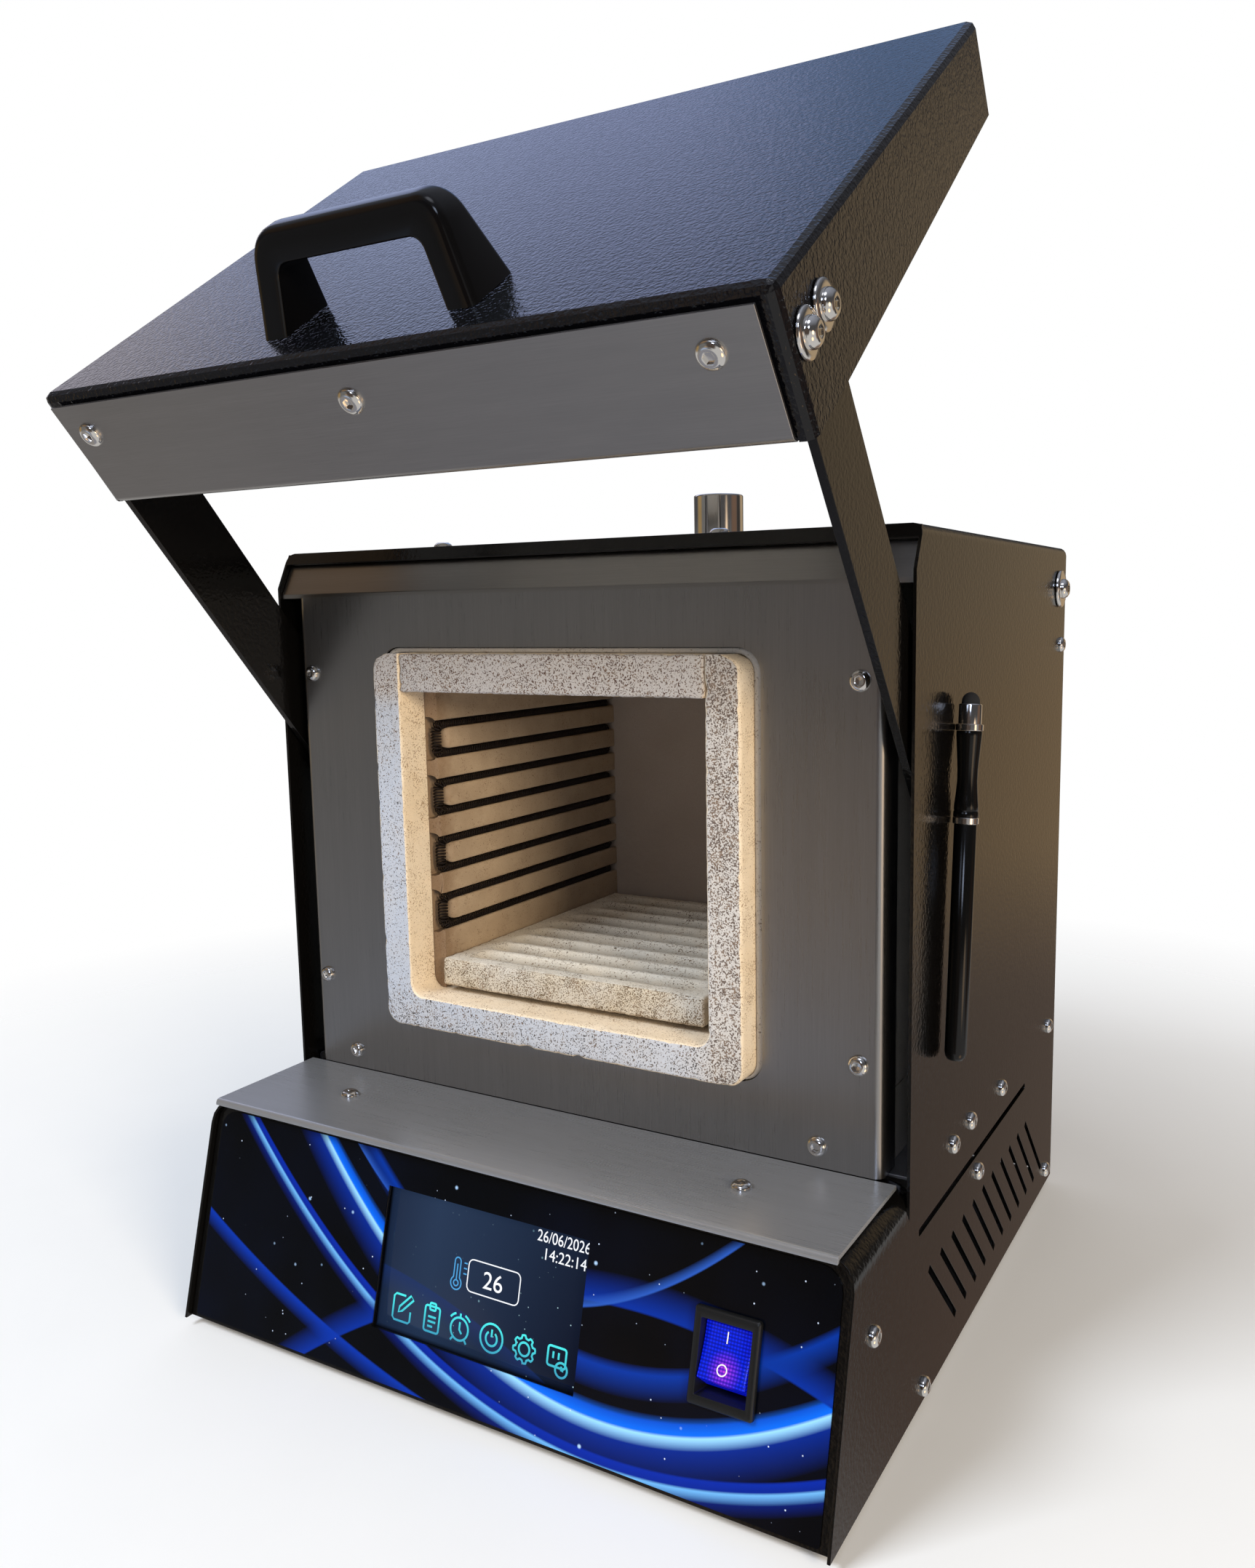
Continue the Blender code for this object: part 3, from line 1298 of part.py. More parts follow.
def make_arm_bolts():
    half = DOOR_WIDTH / 2
    nut_end = ARM_INNER - GAP
    washer = half + GAP
    washer_end = washer + ARM_WASHER_THICKNESS
    parts = [
        (ARM_NUT, nut_end - ARM_NUT_THICKNESS, nut_end),
        (ARM_BOLT_SHAFT, nut_end, washer),
        (ARM_WASHER, washer, washer_end),
    ]
    profile = bolt_profile(parts) + dome_profile(ARM_HEAD, washer_end, ARM_HEAD_HEIGHT)
    for side_name, side in (("left", -1), ("right", 1)):
        for end_name, z in (("low", ARM_BOLT_LOW_Z), ("high", ARM_BOLT_HIGH_Z)):
            y = -DOOR_FACE_GAP - ARM_BOLT_SETBACK
            place_bolt(f"arm_bolt_{end_name}_{side_name}", profile, side, *from_pivot((y, z)), DOOR)


# The door, drawn closed and placed from its axis
def from_pivot(point):
    return (point[0] - PIVOT_Y, point[1] - PIVOT_Z)


def door_corners():
    """The closed door's side outline: outer foot, outer top, inner top and inner foot."""
    inner = -DOOR_FACE_GAP
    low, high = DOOR_FOOT_Z, DOOR_FOOT_Z + DOOR_HEIGHT
    return [
        (inner - DOOR_DEPTH_LOW, low + DOOR_HEEL_OUT),
        (inner - DOOR_DEPTH_TOP, high - DOOR_HEEL_IN / 3),
        (inner, high),
        (inner, low + DOOR_HEEL_IN),
    ]


def door_outline(inset, reach):
    """The side outline drawn in by the sheet, and drawn out past the open side."""
    outer_foot, outer_top, inner_top, inner_foot = door_corners()
    points = [
        (outer_foot[0] + inset, outer_foot[1] + inset),
        (outer_top[0] + inset, outer_top[1] - inset),
        (inner_top[0] + reach, inner_top[1] - inset),
        (inner_foot[0] + reach, inner_foot[1] + inset),
    ]
    return [from_pivot(point) for point in points]


def arm_bolt_holes(name, parent):
    maker = bmesh.new()
    radius = ARM_BOLT_SHAFT + ARM_BOLT_GAP
    for z in (ARM_BOLT_LOW_Z, ARM_BOLT_HIGH_Z):
        centre = from_pivot((-DOOR_FACE_GAP - ARM_BOLT_SETBACK, z))
        extrude_outline(maker, ring(centre, radius, SMALL_STEPS), (-HALF - OVERRUN, HALF + OVERRUN), "X")
    return add_object(name, maker, None, parent)


def make_door_pan():
    half = DOOR_WIDTH / 2
    pan = prism("door_pan", door_outline(0.0, OVERRUN), (-half, half), "X", "black_paint", DOOR)
    soften(pan, DOOR_BEND)
    room_half = half - SHEET
    room = prism("door_room", door_outline(SHEET, 2 * OVERRUN), (-room_half, room_half), "X", None, DOOR)
    soften(room, DOOR_BEND - SHEET)
    inner = -DOOR_FACE_GAP - PIVOT_Y
    low, high = -CASE_HEIGHT, CASE_HEIGHT
    trim = box("door_trim", (-HALF - OVERRUN, inner, low), (HALF + OVERRUN, inner + 3 * OVERRUN, high), None, DOOR)
    relief_half = LINER_WIDTH / 2 + GAP
    foot = DOOR_FOOT_Z - PIVOT_Z
    relief_low = (-relief_half, inner - LINER_BEND - GAP, foot - OVERRUN)
    relief_high = (relief_half, inner + OVERRUN, foot + DOOR_HEEL_OUT + 2 * SHEET)
    relief = box("liner_relief", relief_low, relief_high, None, DOOR)
    cut(pan, room, trim, relief, arm_bolt_holes("door_bolt_cutter", DOOR))


def make_door_liner():
    """The stainless inner sheet, folded at its foot into the end panel."""
    inner = -DOOR_FACE_GAP
    half = LINER_WIDTH / 2
    outer = inner - DOOR_DEPTH_LOW + LINER_FRONT_INSET
    top = DOOR_FOOT_Z + DOOR_HEIGHT - SHEET - GAP
    path = [(inner, top), (inner, DOOR_FOOT_Z), (outer, DOOR_FOOT_Z)]
    outline = folded([from_pivot(point) for point in path], SHEET, LINER_BEND)
    liner = prism("door_liner", outline, (-half, half), "X", "stainless", DOOR)
    reach = LINER_WINDOW_HALF
    low = (-reach, LINER_WINDOW_LOW - PIVOT_Z)
    high = (reach, LINER_WINDOW_HIGH - PIVOT_Z)
    window = rectangle(low, high, LINER_WINDOW_CORNER, 3)
    depth = (inner - PIVOT_Y - OVERRUN, inner - PIVOT_Y + OVERRUN)
    cut(liner, prism("liner_window_cutter", window, depth, "Y", None, DOOR))


def make_door_insulation():
    """A board that nearly meets the muffle's front when the door is closed."""
    face = -MUFFLE_PROUD - BOARD_FACE_GAP
    foot, top, _, _ = door_corners()
    inset = SHEET + DOOR_BOARD_GAP
    low, high = foot[1] + 2 * inset, top[1] - 2 * inset
    slope = (top[0] - foot[0]) / (top[1] - foot[1])
    back_low = foot[0] + inset + slope * (low - foot[1])
    back_high = foot[0] + inset + slope * (high - foot[1])
    outline = [(face, low), (face, high), (back_high, high), (back_low, low)]
    half = DOOR_BOARD_HALF
    prism("door_insulation", [from_pivot(p) for p in outline], (-half, half), "X", "fibre", DOOR)


def handle_empty():
    """An empty on the door's outer foot edge, with z up the outer face and y into the door."""
    foot, top, _, _ = door_corners()
    lean = math.atan2(top[0] - foot[0], top[1] - foot[1])
    y, z = from_pivot(foot)
    return empty("door_face", (0.0, y, z), -lean, DOOR)


def make_handle():
    face = handle_empty()
    foot, top, leg = HANDLE_HALF, HANDLE_TOP_HALF, HANDLE_LEG
    height, bar = HANDLE_HEIGHT, HANDLE_BAR
    lean = (foot - top) * (height - bar) / height
    corners = [
        (-foot, -GAP), (-top, -height), (top, -height), (foot, -GAP),
        (foot - leg, -GAP), (foot - leg - lean, bar - height),
        (leg + lean - foot, bar - height), (leg - foot, -GAP),
    ]
    big, small = HANDLE_CORNER, HANDLE_INNER_CORNER
    outline = fillet(corners, [0.0, big, big, 0.0, 0.0, small, small, 0.0], CORNER_STEPS)
    start, end = HANDLE_START, HANDLE_START + HANDLE_DEPTH
    handle = prism("door_handle", outline, (start, end), "Z", "black_plastic", face)
    over = OVERRUN
    rise = over / height
    front = [
        (over, start - HANDLE_FRONT_SLOPE * rise), (-height - over, start + HANDLE_FRONT_SLOPE * (1 + rise)),
        (-height - over, start - over), (over, start - over),
    ]
    rear = [
        (over, end + HANDLE_REAR_SLOPE * rise), (-height - over, end - HANDLE_REAR_SLOPE * (1 + rise)),
        (-height - over, end + over), (over, end + over),
    ]
    wide = (-foot - over, foot + over)
    cut(
        handle,
        prism("handle_front_cutter", front, wide, "X", None, face),
        prism("handle_rear_cutter", rear, wide, "X", None, face),
    )
    soften(handle, HANDLE_SOFTEN)


def make_arms():
    """Flat L plates: a level leg into the door's foot and an upright one up to the pivot."""
    front = -DOOR_FACE_GAP - ARM_FRONT
    low, high = ARM_LOW, ARM_LOW + ARM_WIDTH
    eye = [
        (PIVOT_Y + ARM_EYE * math.cos(a), PIVOT_Z + ARM_EYE * math.sin(a))
        for a in (math.pi * k / CORNER_STEPS for k in range(CORNER_STEPS + 1))
    ]
    corners = [(front, low), (front, high)]
    corners += [(ARM_LEG_FRONT, high), (ARM_LEG_FRONT, PIVOT_Z - ARM_TAPER)]
    corners += eye[::-1] + [(ARM_LEG_REAR, low)]
    radii = [ARM_EYE / 4, ARM_EYE / 4, ARM_CORNER, 0.0] + [0.0] * len(eye) + [ARM_CORNER]
    outline = fillet([from_pivot(p) for p in corners], radii)
    for name, side in (("arm_left", -1), ("arm_right", 1)):
        span = sorted((side * ARM_INNER, side * (ARM_INNER + ARM_THICKNESS)))
        arm = prism(name, outline, span, "X", "black_paint", DOOR)
        pivot = cross_hole(f"{name}_eye_cutter", 0.0, 0.0, PIVOT_SHAFT + PIVOT_HOLE_GAP, parent=DOOR)
        cut(arm, arm_bolt_holes(f"{name}_bolt_cutter", DOOR), pivot)


# The stylus, stacked from its lower end upwards along its own tilted axis
def make_stylus():
    x = HALF + STYLUS_TOP_RING + STYLUS_SIDE_GAP
    axis = empty("stylus_axis", (x, STYLUS_Y, STYLUS_Z), -STYLUS_TILT, ROOT)
    level = STYLUS_BARREL_LENGTH
    barrel = [
        (0.0, 0.0), (STYLUS_END, 0.0), (STYLUS_BARREL, STYLUS_END_LENGTH), (STYLUS_BARREL, level), (0.0, level),
    ]
    turned("stylus_barrel", barrel, (0.0, 0.0, 0.0), "Z", "gunmetal", axis)
    level = stack_ring("stylus_ring_lower", STYLUS_LOW_RING, level + GLUE, axis)
    level = make_grip(level + GLUE, axis)
    level = stack_ring("stylus_ring_upper", STYLUS_TOP_RING, level + GLUE, axis)
    make_tip(level + GLUE, axis)


def stack_ring(name, radius, start, axis):
    end = start + STYLUS_RING_LENGTH
    profile = [(0.0, start), (radius, start), (radius, end), (0.0, end)]
    turned(name, profile, (0.0, 0.0, 0.0), "Z", "chrome", axis)
    return end


def make_grip(start, axis):
    end = start + STYLUS_GRIP_LENGTH
    profile = [(0.0, start)]
    for share, depth in WAIST_PROFILE_SHARES:
        radius = STYLUS_COLLAR + (STYLUS_WAIST - STYLUS_COLLAR) * depth
        profile.append((radius, start + STYLUS_GRIP_LENGTH * share))
    profile += [(STYLUS_BULGE, end), (0.0, end)]
    turned("stylus_grip", profile, (0.0, 0.0, 0.0), "Z", "gunmetal", axis)
    return end


def make_tip(start, axis):
    shoulder = start + STYLUS_SLEEVE_LENGTH
    profile = [(0.0, start), (STYLUS_SLEEVE, start), (STYLUS_SLEEVE, shoulder - GAP)]
    for k in range(DOME_STEPS):
        turn = math.pi / 2 * k / DOME_STEPS
        profile.append((STYLUS_DOME * math.cos(turn), shoulder + STYLUS_DOME_LENGTH * math.sin(turn)))
    profile.append((0.0, shoulder + STYLUS_DOME_LENGTH))
    turned("stylus_tip", profile, (0.0, 0.0, 0.0), "Z", "soft_tip", axis)


def frame_middle():
    """The middle of the whole object's depth, from the raised door's foot to the inlet's end."""
    y, z = from_pivot(door_corners()[0])
    front = PIVOT_Y + y * math.cos(DOOR_SWING) + z * math.sin(DOOR_SWING)
    rear = CASE_DEPTH - REAR_RECESS + GLAND_SHOW
    return (front + rear) / 2


for old in list(bpy.data.objects):
    bpy.data.objects.remove(old, do_unlink=True)

ROOT = empty("furnace", (0.0, -frame_middle(), FOOT_SHOW))
CONSOLE = empty("console_plane", (0.0, PANEL_RECESS / LEAN_COS - CONSOLE_REACH, 0.0), -CONSOLE_LEAN, ROOT)
DOOR = empty("door_axis", (0.0, PIVOT_Y, PIVOT_Z), -DOOR_SWING, ROOT)

make_casing()
make_rear_panel()
make_base_plate()
make_feet()
make_inner_floor()
make_shelf()
make_fascia()
make_gasket()
make_muffle_shell()
make_muffle_roof()
make_rear_wall()
make_heater_plate("heater_plate_left", -1)
make_heater_plate("heater_plate_right", 1)
make_coils()
make_insulation()
make_chimney()
make_thermocouple()
make_tray()
make_console_panel()
make_film()
make_screen()
make_controller()
make_switch_frame()
make_rocker()
make_power_supply()
make_heat_sink()
make_relay()
make_terminal_block()
make_gland()
make_pivot_bolts()
make_arm_bolts()
make_door_pan()
make_door_liner()
make_door_insulation()
make_handle()
make_arms()
make_stylus()
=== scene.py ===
"""The looks of the dental lab furnace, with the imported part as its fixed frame.

Lengths are in millimetres, in the furnace's own frame: x across, y to the rear from the upper box's
front edge and z up from the casing's lower edge. The matrices below place them in the world in metres.
"""
import math

import bmesh
import bpy
from mathutils import Matrix, Vector, noise


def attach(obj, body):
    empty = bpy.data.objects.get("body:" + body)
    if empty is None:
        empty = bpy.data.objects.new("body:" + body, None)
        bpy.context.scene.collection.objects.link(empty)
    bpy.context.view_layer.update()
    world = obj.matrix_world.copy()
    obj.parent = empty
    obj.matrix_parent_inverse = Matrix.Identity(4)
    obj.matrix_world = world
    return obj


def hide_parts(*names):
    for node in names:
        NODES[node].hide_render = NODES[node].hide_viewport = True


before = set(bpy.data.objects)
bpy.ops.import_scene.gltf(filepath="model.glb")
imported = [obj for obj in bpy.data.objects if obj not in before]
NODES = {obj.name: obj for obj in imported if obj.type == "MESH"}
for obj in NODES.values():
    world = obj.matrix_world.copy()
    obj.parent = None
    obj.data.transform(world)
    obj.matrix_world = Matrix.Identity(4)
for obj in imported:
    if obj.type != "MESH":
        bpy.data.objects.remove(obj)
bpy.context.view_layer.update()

MM = 0.001
TAU = 2 * math.pi
SIDES = (("left", -1), ("right", 1))

# The frames that pieces are drawn in
LEAN = math.radians(14.3)
SWING = math.radians(50.5)
FACE_LEAN = math.atan2(12.6, 220.2)
TILT = math.radians(5.5)
PIVOT_Y, PIVOT_Z = 222.0, 309.6
FLUE_Y = 148.0


def shift(x, y, z):
    return Matrix.Translation((x, y, z))


def turn(angle, axis="X"):
    return Matrix.Rotation(angle, 4, axis)


ROOT = Matrix.Scale(MM, 4) @ shift(0.0, -68.598, 4.0)
CONSOLE = ROOT @ shift(0.0, 2.5 / math.cos(LEAN) - 76.0, 0.0) @ turn(-LEAN)
DOOR = ROOT @ shift(0.0, PIVOT_Y, PIVOT_Z) @ turn(-SWING)
DOOR_FACE = DOOR @ shift(0.0, -269.1, -210.9) @ turn(-FACE_LEAN)
STYLUS = ROOT @ shift(155.35, 36.3, 130.8) @ turn(-TILT)
OUT = {"right": turn(math.pi / 2, "Y"), "left": turn(-math.pi / 2, "Y"), "front": turn(math.pi / 2),
       "rear": turn(-math.pi / 2), "down": turn(math.pi), "up": Matrix.Identity(4)}


# ---------------------------------------------------------------- forms as points and faces
def loft(sections, caps=True):
    """Points and faces of a skin over equal closed sections."""
    count = len(sections[0])
    verts = [point for section in sections for point in section]
    faces = []
    for a in range(0, count * (len(sections) - 1), count):
        for k in range(count):
            j = (k + 1) % count
            faces.append((a + k, a + j, a + count + j, a + count + k))
    if caps:
        faces.append(tuple(range(count)))
        faces.append(tuple(range(len(verts) - 1, len(verts) - 1 - count, -1)))
    return verts, faces


def join(parts):
    """One list of points and faces from several."""
    verts, faces = [], []
    for more_verts, more_faces in parts:
        start = len(verts)
        verts += more_verts
        faces += [tuple(start + i for i in face) for face in more_faces]
    return verts, faces


def moved(part, matrix):
    return [matrix @ Vector(v) for v in part[0]], part[1]


def arc(centre, radius, start=0, end=360, steps=28):
    """Points round a centre in a plane, between two angles in degrees."""
    angles = [math.radians(start + (end - start) * k / steps) for k in range(steps + 1)]
    return [(centre[0] + radius * math.cos(a), centre[1] + radius * math.sin(a)) for a in angles]


def ring(radius, z, count):
    """A level circle of points about the z axis."""
    angles = [TAU * k / count for k in range(count)]
    return [(radius * math.cos(a), radius * math.sin(a), z) for a in angles]


def lathe(profile, steps=32):
    """A skin turned about z from (radius, height) points, closed on the axis by caps."""
    return loft([ring(r, z, steps) for r, z in profile])


def rounded_path(corners, radius, steps):
    """An open path with each inner corner turned into an arc."""
    result = [Vector(corners[0])]
    for before, corner, after in zip(corners, corners[1:], corners[2:]):
        corner = Vector(corner)
        back = (Vector(before) - corner).normalized()
        ahead = (Vector(after) - corner).normalized()
        half = back.angle(ahead) / 2
        centre = corner + (back + ahead).normalized() * (radius / math.sin(half))
        start = corner + back * (radius / math.tan(half)) - centre
        end = corner + ahead * (radius / math.tan(half)) - centre
        whole = -start.angle_signed(end)
        result += [centre + Matrix.Rotation(whole * k / steps, 2) @ start for k in range(steps + 1)]
    return result + [Vector(corners[-1])]


def box_path(x, z, wide, high, radius=1.0):
    """A closed rectangle with rounded corners, whose last point is its first."""
    left, right, low, top = x + radius, x + wide - radius, z + radius, z + high - radius
    points = []
    for centre, start in (((right, top), 0), ((left, top), 90), ((left, low), 180), ((right, low), 270)):
        points += arc(centre, radius, start, start + 90, 4)
    return points + points[:1]


def walk(path, count):
    """Even steps along a path: the distance so far, the point and the way ahead."""
    lengths = [0.0]
    for a, b in zip(path, path[1:]):
        lengths.append(lengths[-1] + (b - a).length)
    k = 0
    for n in range(count + 1):
        distance = lengths[-1] * n / count
        while k < len(path) - 2 and lengths[k + 1] < distance:
            k += 1
        share = (distance - lengths[k]) / max(1e-9, lengths[k + 1] - lengths[k])
        yield distance, path[k].lerp(path[k + 1], min(1.0, share)), (path[k + 1] - path[k]).normalized()


def strip(path, width, thick=0.05):
    """A flat ribbon along a path in a plane, as a thin closed solid: u, v and its height."""
    path = [Vector(point) for point in path]
    closed = (path[0] - path[-1]).length < 1e-6
    before = [path[-2] if closed else path[0]] + path[:-1]
    after = path[1:] + [path[1] if closed else path[-1]]
    sections = []
    for point, last, coming in zip(path, before, after):
        ahead = (coming - last).normalized()
        across = Vector((-ahead.y, ahead.x)) * width / 2
        a, b = point + across, point - across
        sections.append([(a.x, a.y, 0.0), (b.x, b.y, 0.0), (b.x, b.y, thick), (a.x, a.y, thick)])
    return loft(sections, caps=not closed)


def grid_lines(low, high, radius, cell):
    """Places from low to high, with rows for a rounded edge at each end."""
    edge = [radius * (1 - math.tan(math.radians(45 - a))) for a in (0, 15, 30, 45)]
    count = max(1, round((high - low - 2 * radius) / cell))
    middle = [low + radius + (high - low - 2 * radius) * k / count for k in range(1, count)]
    return [low + e for e in edge] + middle + [high - e for e in edge[::-1]]


def rounded_block(low, high, radius, cell, wear=None):
    """A box with rounded edges as a fine grid. wear moves a point along the way out."""
    cells = cell if isinstance(cell, tuple) else (cell, cell, cell)
    lines = [grid_lines(low[k], high[k], radius, cells[k]) for k in range(3)]
    found, verts, faces = {}, [], []

    def vertex(point):
        key = tuple(round(v, 4) for v in point)
        if key not in found:
            found[key] = len(verts)
            core = Vector([min(max(point[k], low[k] + radius), high[k] - radius) for k in range(3)])
            out = (Vector(point) - core).normalized()
            place = core + out * radius
            if wear:
                place = place + out * wear(place, edge_share(point, low, high))
            verts.append(place)
        return found[key]

    for axis in range(3):
        u, v = [k for k in range(3) if k != axis]
        for side in (low[axis], high[axis]):
            for i in range(len(lines[u]) - 1):
                for j in range(len(lines[v]) - 1):
                    corners = []
                    for du, dv in ((0, 0), (1, 0), (1, 1), (0, 1)):
                        point = [side] * 3
                        point[u], point[v] = lines[u][i + du], lines[v][j + dv]
                        corners.append(vertex(tuple(point)))
                    if len(set(corners)) == 4:
                        faces.append(tuple(corners))
    return verts, faces


def edge_share(point, low, high, reach=3.0):
    """1 on an edge of the box, falling to 0 at reach from it."""
    near = sorted(min(point[k] - low[k], high[k] - point[k]) for k in range(3))
    return max(0.0, 1 - near[1] / reach)


def worn(depth, size, rough, seed):
    """A wear function: chips of this depth and size along edges, and a rough face."""
    offset = Vector((seed, seed * 1.7, seed * 2.3))

    def wear(place, edge):
        chip = max(0.0, noise.noise(place / size + offset) - 0.05) * 1.6
        return noise.noise(place / 1.4 + offset) * rough - depth * chip * edge

    return wear


# ---------------------------------------------------------------- shader values and looks
def feed(tree, value, socket):
    """Links a shader value, or sets a number or colour."""
    if isinstance(value, Value):
        value = value.socket
    if hasattr(value, "is_output"):
        tree.links.new(value, socket)
    elif isinstance(value, tuple) and len(value) == 3 and socket.type == "RGBA":
        socket.default_value = (*value, 1.0)
    else:
        socket.default_value = value


def node(tree, kind, inputs, **settings):
    """A new shader node with its settings, and its inputs by name or number."""
    made = tree.nodes.new("ShaderNode" + kind)
    for key, value in settings.items():
        setattr(made, key, value)
    for key, value in inputs.items():
        feed(tree, value, made.inputs[key])
    return made


class Value:
    """A number in a look's shader, for use in sums."""

    def __init__(self, look, socket):
        self.look, self.socket = look, socket

    def __add__(self, other):
        return self.look.op("ADD", self, other)

    def __sub__(self, other):
        return self.look.op("SUBTRACT", self, other)

    def __mul__(self, other):
        return self.look.op("MULTIPLY", self, other)

    def most(self, other):
        return self.look.op("MAXIMUM", self, other)

    def reach(self, other):
        """The length of a line that goes so far both ways."""
        return self.look.op("SQRT", self * self + other * other)

    def ramp(self, start, end, low=0.0, high=1.0):
        """Goes in a straight line from low at start to high at end, held at both."""
        made = self.look.node("MapRange", {"Value": self, "From Min": start, "From Max": end,
                                           "To Min": low, "To Max": high})
        return Value(self.look, made.outputs["Result"])


class Look:
    """A Principled material being built, with its patterns in millimetres on the piece."""

    def __init__(self, name, colour, roughness, metallic=0.0, turned=0.0, on_console=False, **fixed):
        self.material = bpy.data.materials.new(name)
        self.material.use_nodes = True
        self.material.diffuse_color = (*colour, 1.0)
        self.tree = self.material.node_tree
        self.shader = self.tree.nodes["Principled BSDF"]
        self.put("Base Color", colour)
        self.put("Roughness", roughness)
        self.put("Metallic", metallic)
        for socket, value in fixed.items():
            self.put(socket.replace("_", " "), value)
        place = self.node("TexCoord", {}).outputs["Object"]
        self.place = self.node("VectorMath", {0: place, "Scale": 1 / MM}, operation="SCALE").outputs[0]
        if on_console:
            # x across the console and z up its slope
            origin = {0: self.place, 1: CONSOLE.translation / MM}
            self.place = self.node("VectorMath", origin, operation="SUBTRACT").outputs[0]
            turned = LEAN
        if turned:
            spin = {"Vector": self.place, "Angle": turned}
            self.place = self.node("VectorRotate", spin, rotation_type="X_AXIS").outputs[0]

    def node(self, kind, inputs, **settings):
        return node(self.tree, kind, inputs, **settings)

    def put(self, socket, value):
        feed(self.tree, value, self.shader.inputs[socket])

    def op(self, operation, *values):
        return Value(self, self.node("Math", dict(enumerate(values)), operation=operation).outputs[0])

    def axis(self, letter):
        return Value(self, self.node("SeparateXYZ", {0: self.place}).outputs["XYZ".index(letter)])

    def mapped(self, offset, scale):
        mapping = {"Vector": self.place, "Location": (offset, offset, offset), "Scale": scale}
        return self.node("Mapping", mapping).outputs[0]

    def noise(self, size, detail=2.0, stretch=(1.0, 1.0, 1.0), offset=0.0, rough=0.5):
        """A noise whose spots are about size across, drawn out by stretch."""
        place = self.mapped(offset, tuple(1 / s for s in stretch))
        made = self.node("TexNoise", {"Scale": 1 / size, "Detail": detail, "Roughness": rough,
                                      "Vector": place})
        return Value(self, made.outputs["Fac"])

    def dots(self, size, near, far, share, offset):
        """Round dots on a scattered upright grid, of which this share is kept, and their tints."""
        place = self.mapped(offset, (1.0, 0.0, 1.0))
        made = self.node("TexVoronoi", {"Scale": 1 / size, "Vector": place})
        spot = Value(self, made.outputs["Distance"]).ramp(near / size, far / size, 1.0, 0.0)
        parts = self.node("SeparateColor", {0: made.outputs["Color"]}).outputs
        return spot * self.op("LESS_THAN", parts[0], share), parts[1]

    def mix(self, factor, a, b):
        return self.node("Mix", {"Factor": factor, 6: a, 7: b}, data_type="RGBA").outputs[2]

    def colour(self, value):
        self.put("Base Color", value)

    def rough(self, value, low, high):
        self.put("Roughness", value.ramp(0.3, 0.7, low, high))

    def bump(self, height, depth):
        """Raises the surface by height times depth in millimetres, over bumps added before."""
        inputs = {"Distance": depth * MM, "Strength": 1.0, "Height": height}
        for earlier in self.shader.inputs["Normal"].links:
            inputs["Normal"] = earlier.from_socket
        self.put("Normal", self.node("Bump", inputs).outputs[0])

    def glow(self, colour, strength=1.0):
        self.put("Emission Color", colour)
        self.put("Emission Strength", strength)

    def fade(self, share, surface):
        """Lets the surface vanish by this share."""
        clear = self.node("BsdfTransparent", {}).outputs[0]
        shown = self.node("MixShader", {0: share, 1: surface, 2: clear}).outputs[0]
        feed(self.tree, shown, self.tree.nodes["Material Output"].inputs["Surface"])


def tint(tone, share):
    return tuple(min(1.0, c * share) for c in tone)


def powder_coat(name, tone, grain, depth, gloss):
    """Black powder coat with its orange peel."""
    look = Look(name, tone, 0.2, Specular_IOR_Level=0.45)
    look.colour(look.mix(look.noise(55.0, 3), tint(tone, 0.8), tint(tone, 1.3)))
    look.rough(look.noise(2.5, 2, offset=40.0), *gloss)
    look.bump(look.noise(1.9 * grain, 1.2).ramp(0.36, 0.62), depth)
    look.bump(look.noise(0.75 * grain, 1, offset=9.0), depth / 4)
    return look


def brushed(name, stretch, tone, turned=0.0, roughness=(0.27, 0.38), metallic=1.0):
    """Brushed steel, with its streaks drawn out along one axis."""
    look = Look(name, tone, 0.32, metallic, turned)
    streak = look.noise(0.35, 3, stretch, rough=0.65)
    band = look.noise(4.0, 3, stretch, offset=17.0)
    cloud = look.noise(70.0, 2, offset=5.0)
    shade = look.mix(streak, tint(tone, 0.82), tint(tone, 1.18))
    shade = look.mix(band.ramp(0.35, 0.65, 0.0, 0.35), shade, tint(tone, 0.88))
    look.colour(look.mix(cloud.ramp(0.3, 0.7, 0.0, 0.3), shade, tint(tone, 1.05)))
    look.rough(streak * 0.6 + cloud * 0.4, *roughness)
    look.bump(streak, 0.006)
    return look


def plain(name, tone, roughness, metallic, size, spread, depth=0.0, shine=0.5):
    """A smooth finish whose tone and gloss vary a little."""
    look = Look(name, tone, roughness, metallic, Specular_IOR_Level=shine)
    grain = look.noise(size, 3)
    cloud = look.noise(size * 22, 2, offset=12.0)
    look.colour(look.mix(cloud, tint(tone, 0.86), tint(tone, 1.14)))
    look.rough(grain * 0.5 + cloud * 0.5, max(0.02, roughness - spread / 2), roughness + spread / 2)
    if depth:
        look.bump(grain, depth)
    return look


def ceramic(name, pale, warm, speck, density, pit, grain=1.0):
    """Fired fibre ceramic: pale, with small dark pits that crowd together here and there."""
    look = Look(name, pale, 0.95)
    base = look.mix(look.noise(26.0, 3).ramp(0.35, 0.65), pale, warm)
    return pitted(look, base, tint(warm, 0.8), speck, density, pit, grain)


